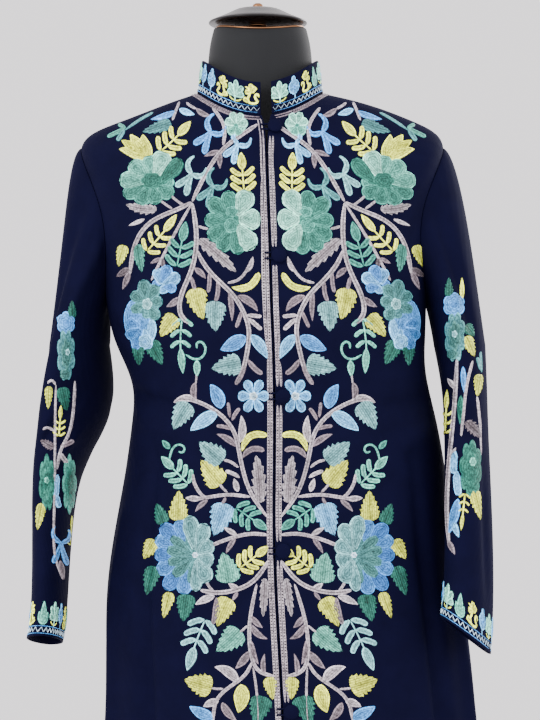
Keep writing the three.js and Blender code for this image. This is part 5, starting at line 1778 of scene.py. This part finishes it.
@dataclass
class DressForm:
    """The limbless form under the coat, its neck cap, and the pole and base that carry it."""

    body: BodyCloth
    jersey: Material
    lacquer: Material
    brass: Material
    steel: Material
    cloth: float = 2.0
    shoulder_clear: float = 0.5
    front_clear: float = 5.0
    armhole_clear: float = 20.0
    neck_clear: tuple[float, float] = (5.0, 7.0)
    # z, half_width, front, back of the neck
    neck_rows: tuple[tuple[float, ...], ...] = (
        (1474.5, 50.5, 46.5, 46.5), (1462, 54, 49, 50), (1445, 56.6, 50.6, 51.6), (1415, 58, 52, 53))
    neck_front_dip: float = 8.0
    plate_share: float = 0.955
    plate_gap: float = 0.3
    plate_height: float = 2.2
    cap_x: float = -4.5
    # z, mid_x, half_width, front, back below the armpits
    lower_rows: tuple[tuple[float, ...], ...] = (
        (1128, 7, 149, 126, 92), (1079, 8, 134, 112, 84), (1012, 10, 130, 104, 82), (950, 10, 142, 108, 92),
        (880, 9, 154, 114, 104), (825, 8, 158, 116, 108), (792, 8, 154, 112, 105))
    # Pairs of radius and height
    cap: Knots = (
        (0, 1479), (48, 1479), (52.5, 1479.2), (53.8, 1480), (54, 1481), (53, 1482), (47, 1484.6),
        (38, 1488.4), (30, 1492.4), (24.5, 1495), (22, 1495.2), (17.5, 1495), (16.2, 1494.4),
        (15.5, 1493.4), (0, 1493.4))
    post: Knots = ((0, 1477.3), (10, 1477.3), (10, 1478.6), (0, 1478.6))
    knob: Knots = (
        (0, 1493.7), (4, 1493.7), (4.4, 1495), (5.8, 1497), (6, 1499), (5.2, 1501), (3.2, 1502.4),
        (0, 1502.7))
    pole: Knots = ((0, 40.4), (12, 40.4), (12.5, 41), (12.5, 791), (12, 791.6), (0, 791.6))
    socket: Knots = ((0, 16.3), (23, 16.3), (24, 17.4), (24, 37), (23.2, 39), (21, 40.1), (0, 40.1))
    foot: Knots = (
        (0, 0), (192.5, 0), (194.4, 0.7), (195, 2), (195, 8), (194.2, 9.4), (192, 10), (150, 11.4),
        (100, 14), (68, 16), (0, 16))

    def build(self) -> list[Piece]:
        """Makes the form's pieces."""
        pieces = [settle(self.torso(), "form_cover", "form_torso"),
                  settle(self.neck_plate(), "brass", "form_neck_plate")]
        for name, profile, material, slot, x, node in (
                ("neck_cap", self.cap, self.lacquer, "lacquered_metal", self.cap_x, "form_cap"),
                ("cap_post", self.post, self.brass, "brass", self.cap_x, "form_cap_post"),
                ("cap_knob", self.knob, self.brass, "brass", self.cap_x, "form_knob"),
                ("pole", self.pole, self.steel, "steel", 0.0, "stand_pole"),
                ("pole_socket", self.socket, self.steel, "steel", 0.0, "stand_socket"),
                ("round_base", self.foot, self.steel, "steel", 0.0, "stand_base")):
            piece = lathe(name, profile, material, x)
            soften(piece, 0.4, angle=40)
            pieces.append(settle(piece, slot, node))
        return pieces

    def neck_ring(self, angles: Array, row: int) -> Array:
        """An oval ring of the neck, whose top one dips at the front with the cosine's square."""
        z, half, front, back = self.neck_rows[row]
        dip = self.neck_front_dip * (row == 0) * np.maximum(np.cos(angles), 0) ** 2
        return oval(angles, self.body.rows[0, 3], half, front, back, z - dip)

    def neck_plate(self) -> Piece:
        """A thin plate: the neck's top ring drawn in towards the middle, with a rolled rim."""
        middle = np.array([self.body.rows[0, 3], 0, self.neck_rows[0][0]])
        ring = self.neck_ring(turn_angles(96), 0) - middle
        low, high = self.plate_gap, self.plate_gap + self.plate_height
        profile = ((0.5, low), (0.985, low), (1.0, low + 0.5), (1.0, high - 0.5), (0.985, high),
                   (0.5, high))
        rings = [middle + ring * share * self.plate_share + [0, 0, rise] for share, rise in profile]
        ends = [middle + [0, 0, low], middle + [0, 0, high]]
        return closed_tube("neck_plate", np.array(rings), ends, self.brass)

    def torso(self) -> Piece:
        """The covered body: rings of the neck, of the coat from inside, and of the hips.

        Between its rings the form is a B-spline, so that it is smooth all the way down.
        """
        angles = turn_angles(120)
        side, ahead = np.sin(angles) ** 2, np.maximum(np.cos(angles), 0) ** 2
        plain = BodyCloth(creases=())
        rings = [self.neck_ring(angles, row) for row in range(len(self.neck_rows))]
        for place in np.concatenate([np.arange(8) * 5 / 8, plain.armhole_place(np.arange(0, 13, 2) / 12)]):
            at_neck = max(0.0, 1 - place) * (self.neck_clear[0] + self.neck_clear[1] * ahead)
            armhole = self.armhole_clear * smooth_step(np.array(place), 4, 6) * side
            inset = self.cloth + self.shoulder_clear + at_neck + self.front_clear * (1 - side) + armhole
            rings.append(plain.raised(angles, np.full(angles.shape, place), -inset))
        rings += [oval(angles, x, half, front, back, z) for z, x, half, front, back in self.lower_rows]
        rows = np.array(rings).reshape(len(rings), -1)
        fine = spline(rows, np.linspace(0, len(rows) - 1, 5 * len(rows))).reshape(-1, len(angles), 3)
        ends = [(self.body.rows[0, 3], 0, self.neck_rows[0][0]), (0, 0, self.lower_rows[-1][0])]
        piece = closed_tube("covered_torso", fine, ends, self.jersey, flip=False)
        soften(piece, 2.5, segments=3, angle=55)
        return piece


@dataclass
class Studio:
    """The plain pale floor, the soft lights and the camera at the photograph's view."""

    background: str = "#dcd8db"
    room_light: float = 2.35
    floor_colours: tuple[str, str] = ("#cfcaca", "#d6d1d1")
    # Name, watts, size and place in metres
    lamps: tuple[tuple[str, float, float, tuple[float, float, float]], ...] = (
        ("key", 36, 1.2, (-1.6, -1.9, 2.2)), ("fill", 10, 1.8, (1.9, -1.7, 1.5)),
        ("back", 30, 0.9, (1.6, 1.6, 2.0)))
    aim: tuple[float, float, float] = (0.0, 0.0, 1.0)

    def build(self) -> None:
        """Makes the floor, three soft area lights, the pale surroundings and the camera."""
        material, tree, shader = new_material(
            "matt_pale_floor", {"Roughness": 0.9, "Specular IOR Level": 0.2})
        blend(tree, shader, noise(tree, scale=3.0, detail=2.0), *self.floor_colours)
        x, y = np.meshgrid(np.linspace(-1600, 1600, 9), np.linspace(-1500, 1500, 9))
        points = np.stack([x, y, np.full(x.shape, -0.5)], axis=-1).reshape(-1, 3)
        mesh_piece("floor", points, [grid_faces(9, 9, 0, False, True)], material)
        for name, watts, size, place in self.lamps:
            light = bpy.data.lights.new(name, "AREA")
            light.energy, light.size = watts, size
            lamp = in_scene(name, light)
            lamp.location = place
            x, y, z = np.array(self.aim) - np.array(place)
            lamp.rotation_euler = (math.atan2(math.hypot(x, y), -z), 0, math.atan2(y, x) - math.pi / 2)
        world = bpy.data.worlds.new("pale_room")
        world.use_nodes = True
        room = world.node_tree.nodes["Background"]
        room.inputs["Color"].default_value = linear(self.background)
        room.inputs["Strength"].default_value = self.room_light
        bpy.context.scene.world = world
        data = bpy.data.cameras.new("camera")
        data.sensor_width = 36.0
        data.lens = PIXELS_PER_MM * -CAMERA[1] / PHOTO_HEIGHT * data.sensor_width
        camera = in_scene("camera", data)
        camera.location = CAMERA * MM
        camera.rotation_euler = (math.pi / 2, 0, 0)
        bpy.context.scene.camera = camera


def main() -> None:
    """Loads the frame, builds the stage, the form and the coat."""
    logging.basicConfig(level=logging.INFO, format="%(name)s: %(message)s")
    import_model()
    Studio().build()
    coat = Coat(WoolCloth().build(), ChainStitch().build())
    jersey = JerseyCover().build()
    lacquer = Metal("black_lacquered_steel", "#141112", 0.26, metallic=0.0, coat=0.06, specular=0.28)
    brass = Metal("polished_brass", "#9a6e4e", 0.32).build()
    steel = Metal("polished_steel", "#b7b9bd", 0.2).build()
    form = DressForm(coat.body, jersey, lacquer.build(), brass, steel)
    for piece in [*form.build(), *coat.build()]:
        LOG.info("%s: %d faces", piece.name, len(piece.data.polygons))


if __name__ == "__main__":
    main()
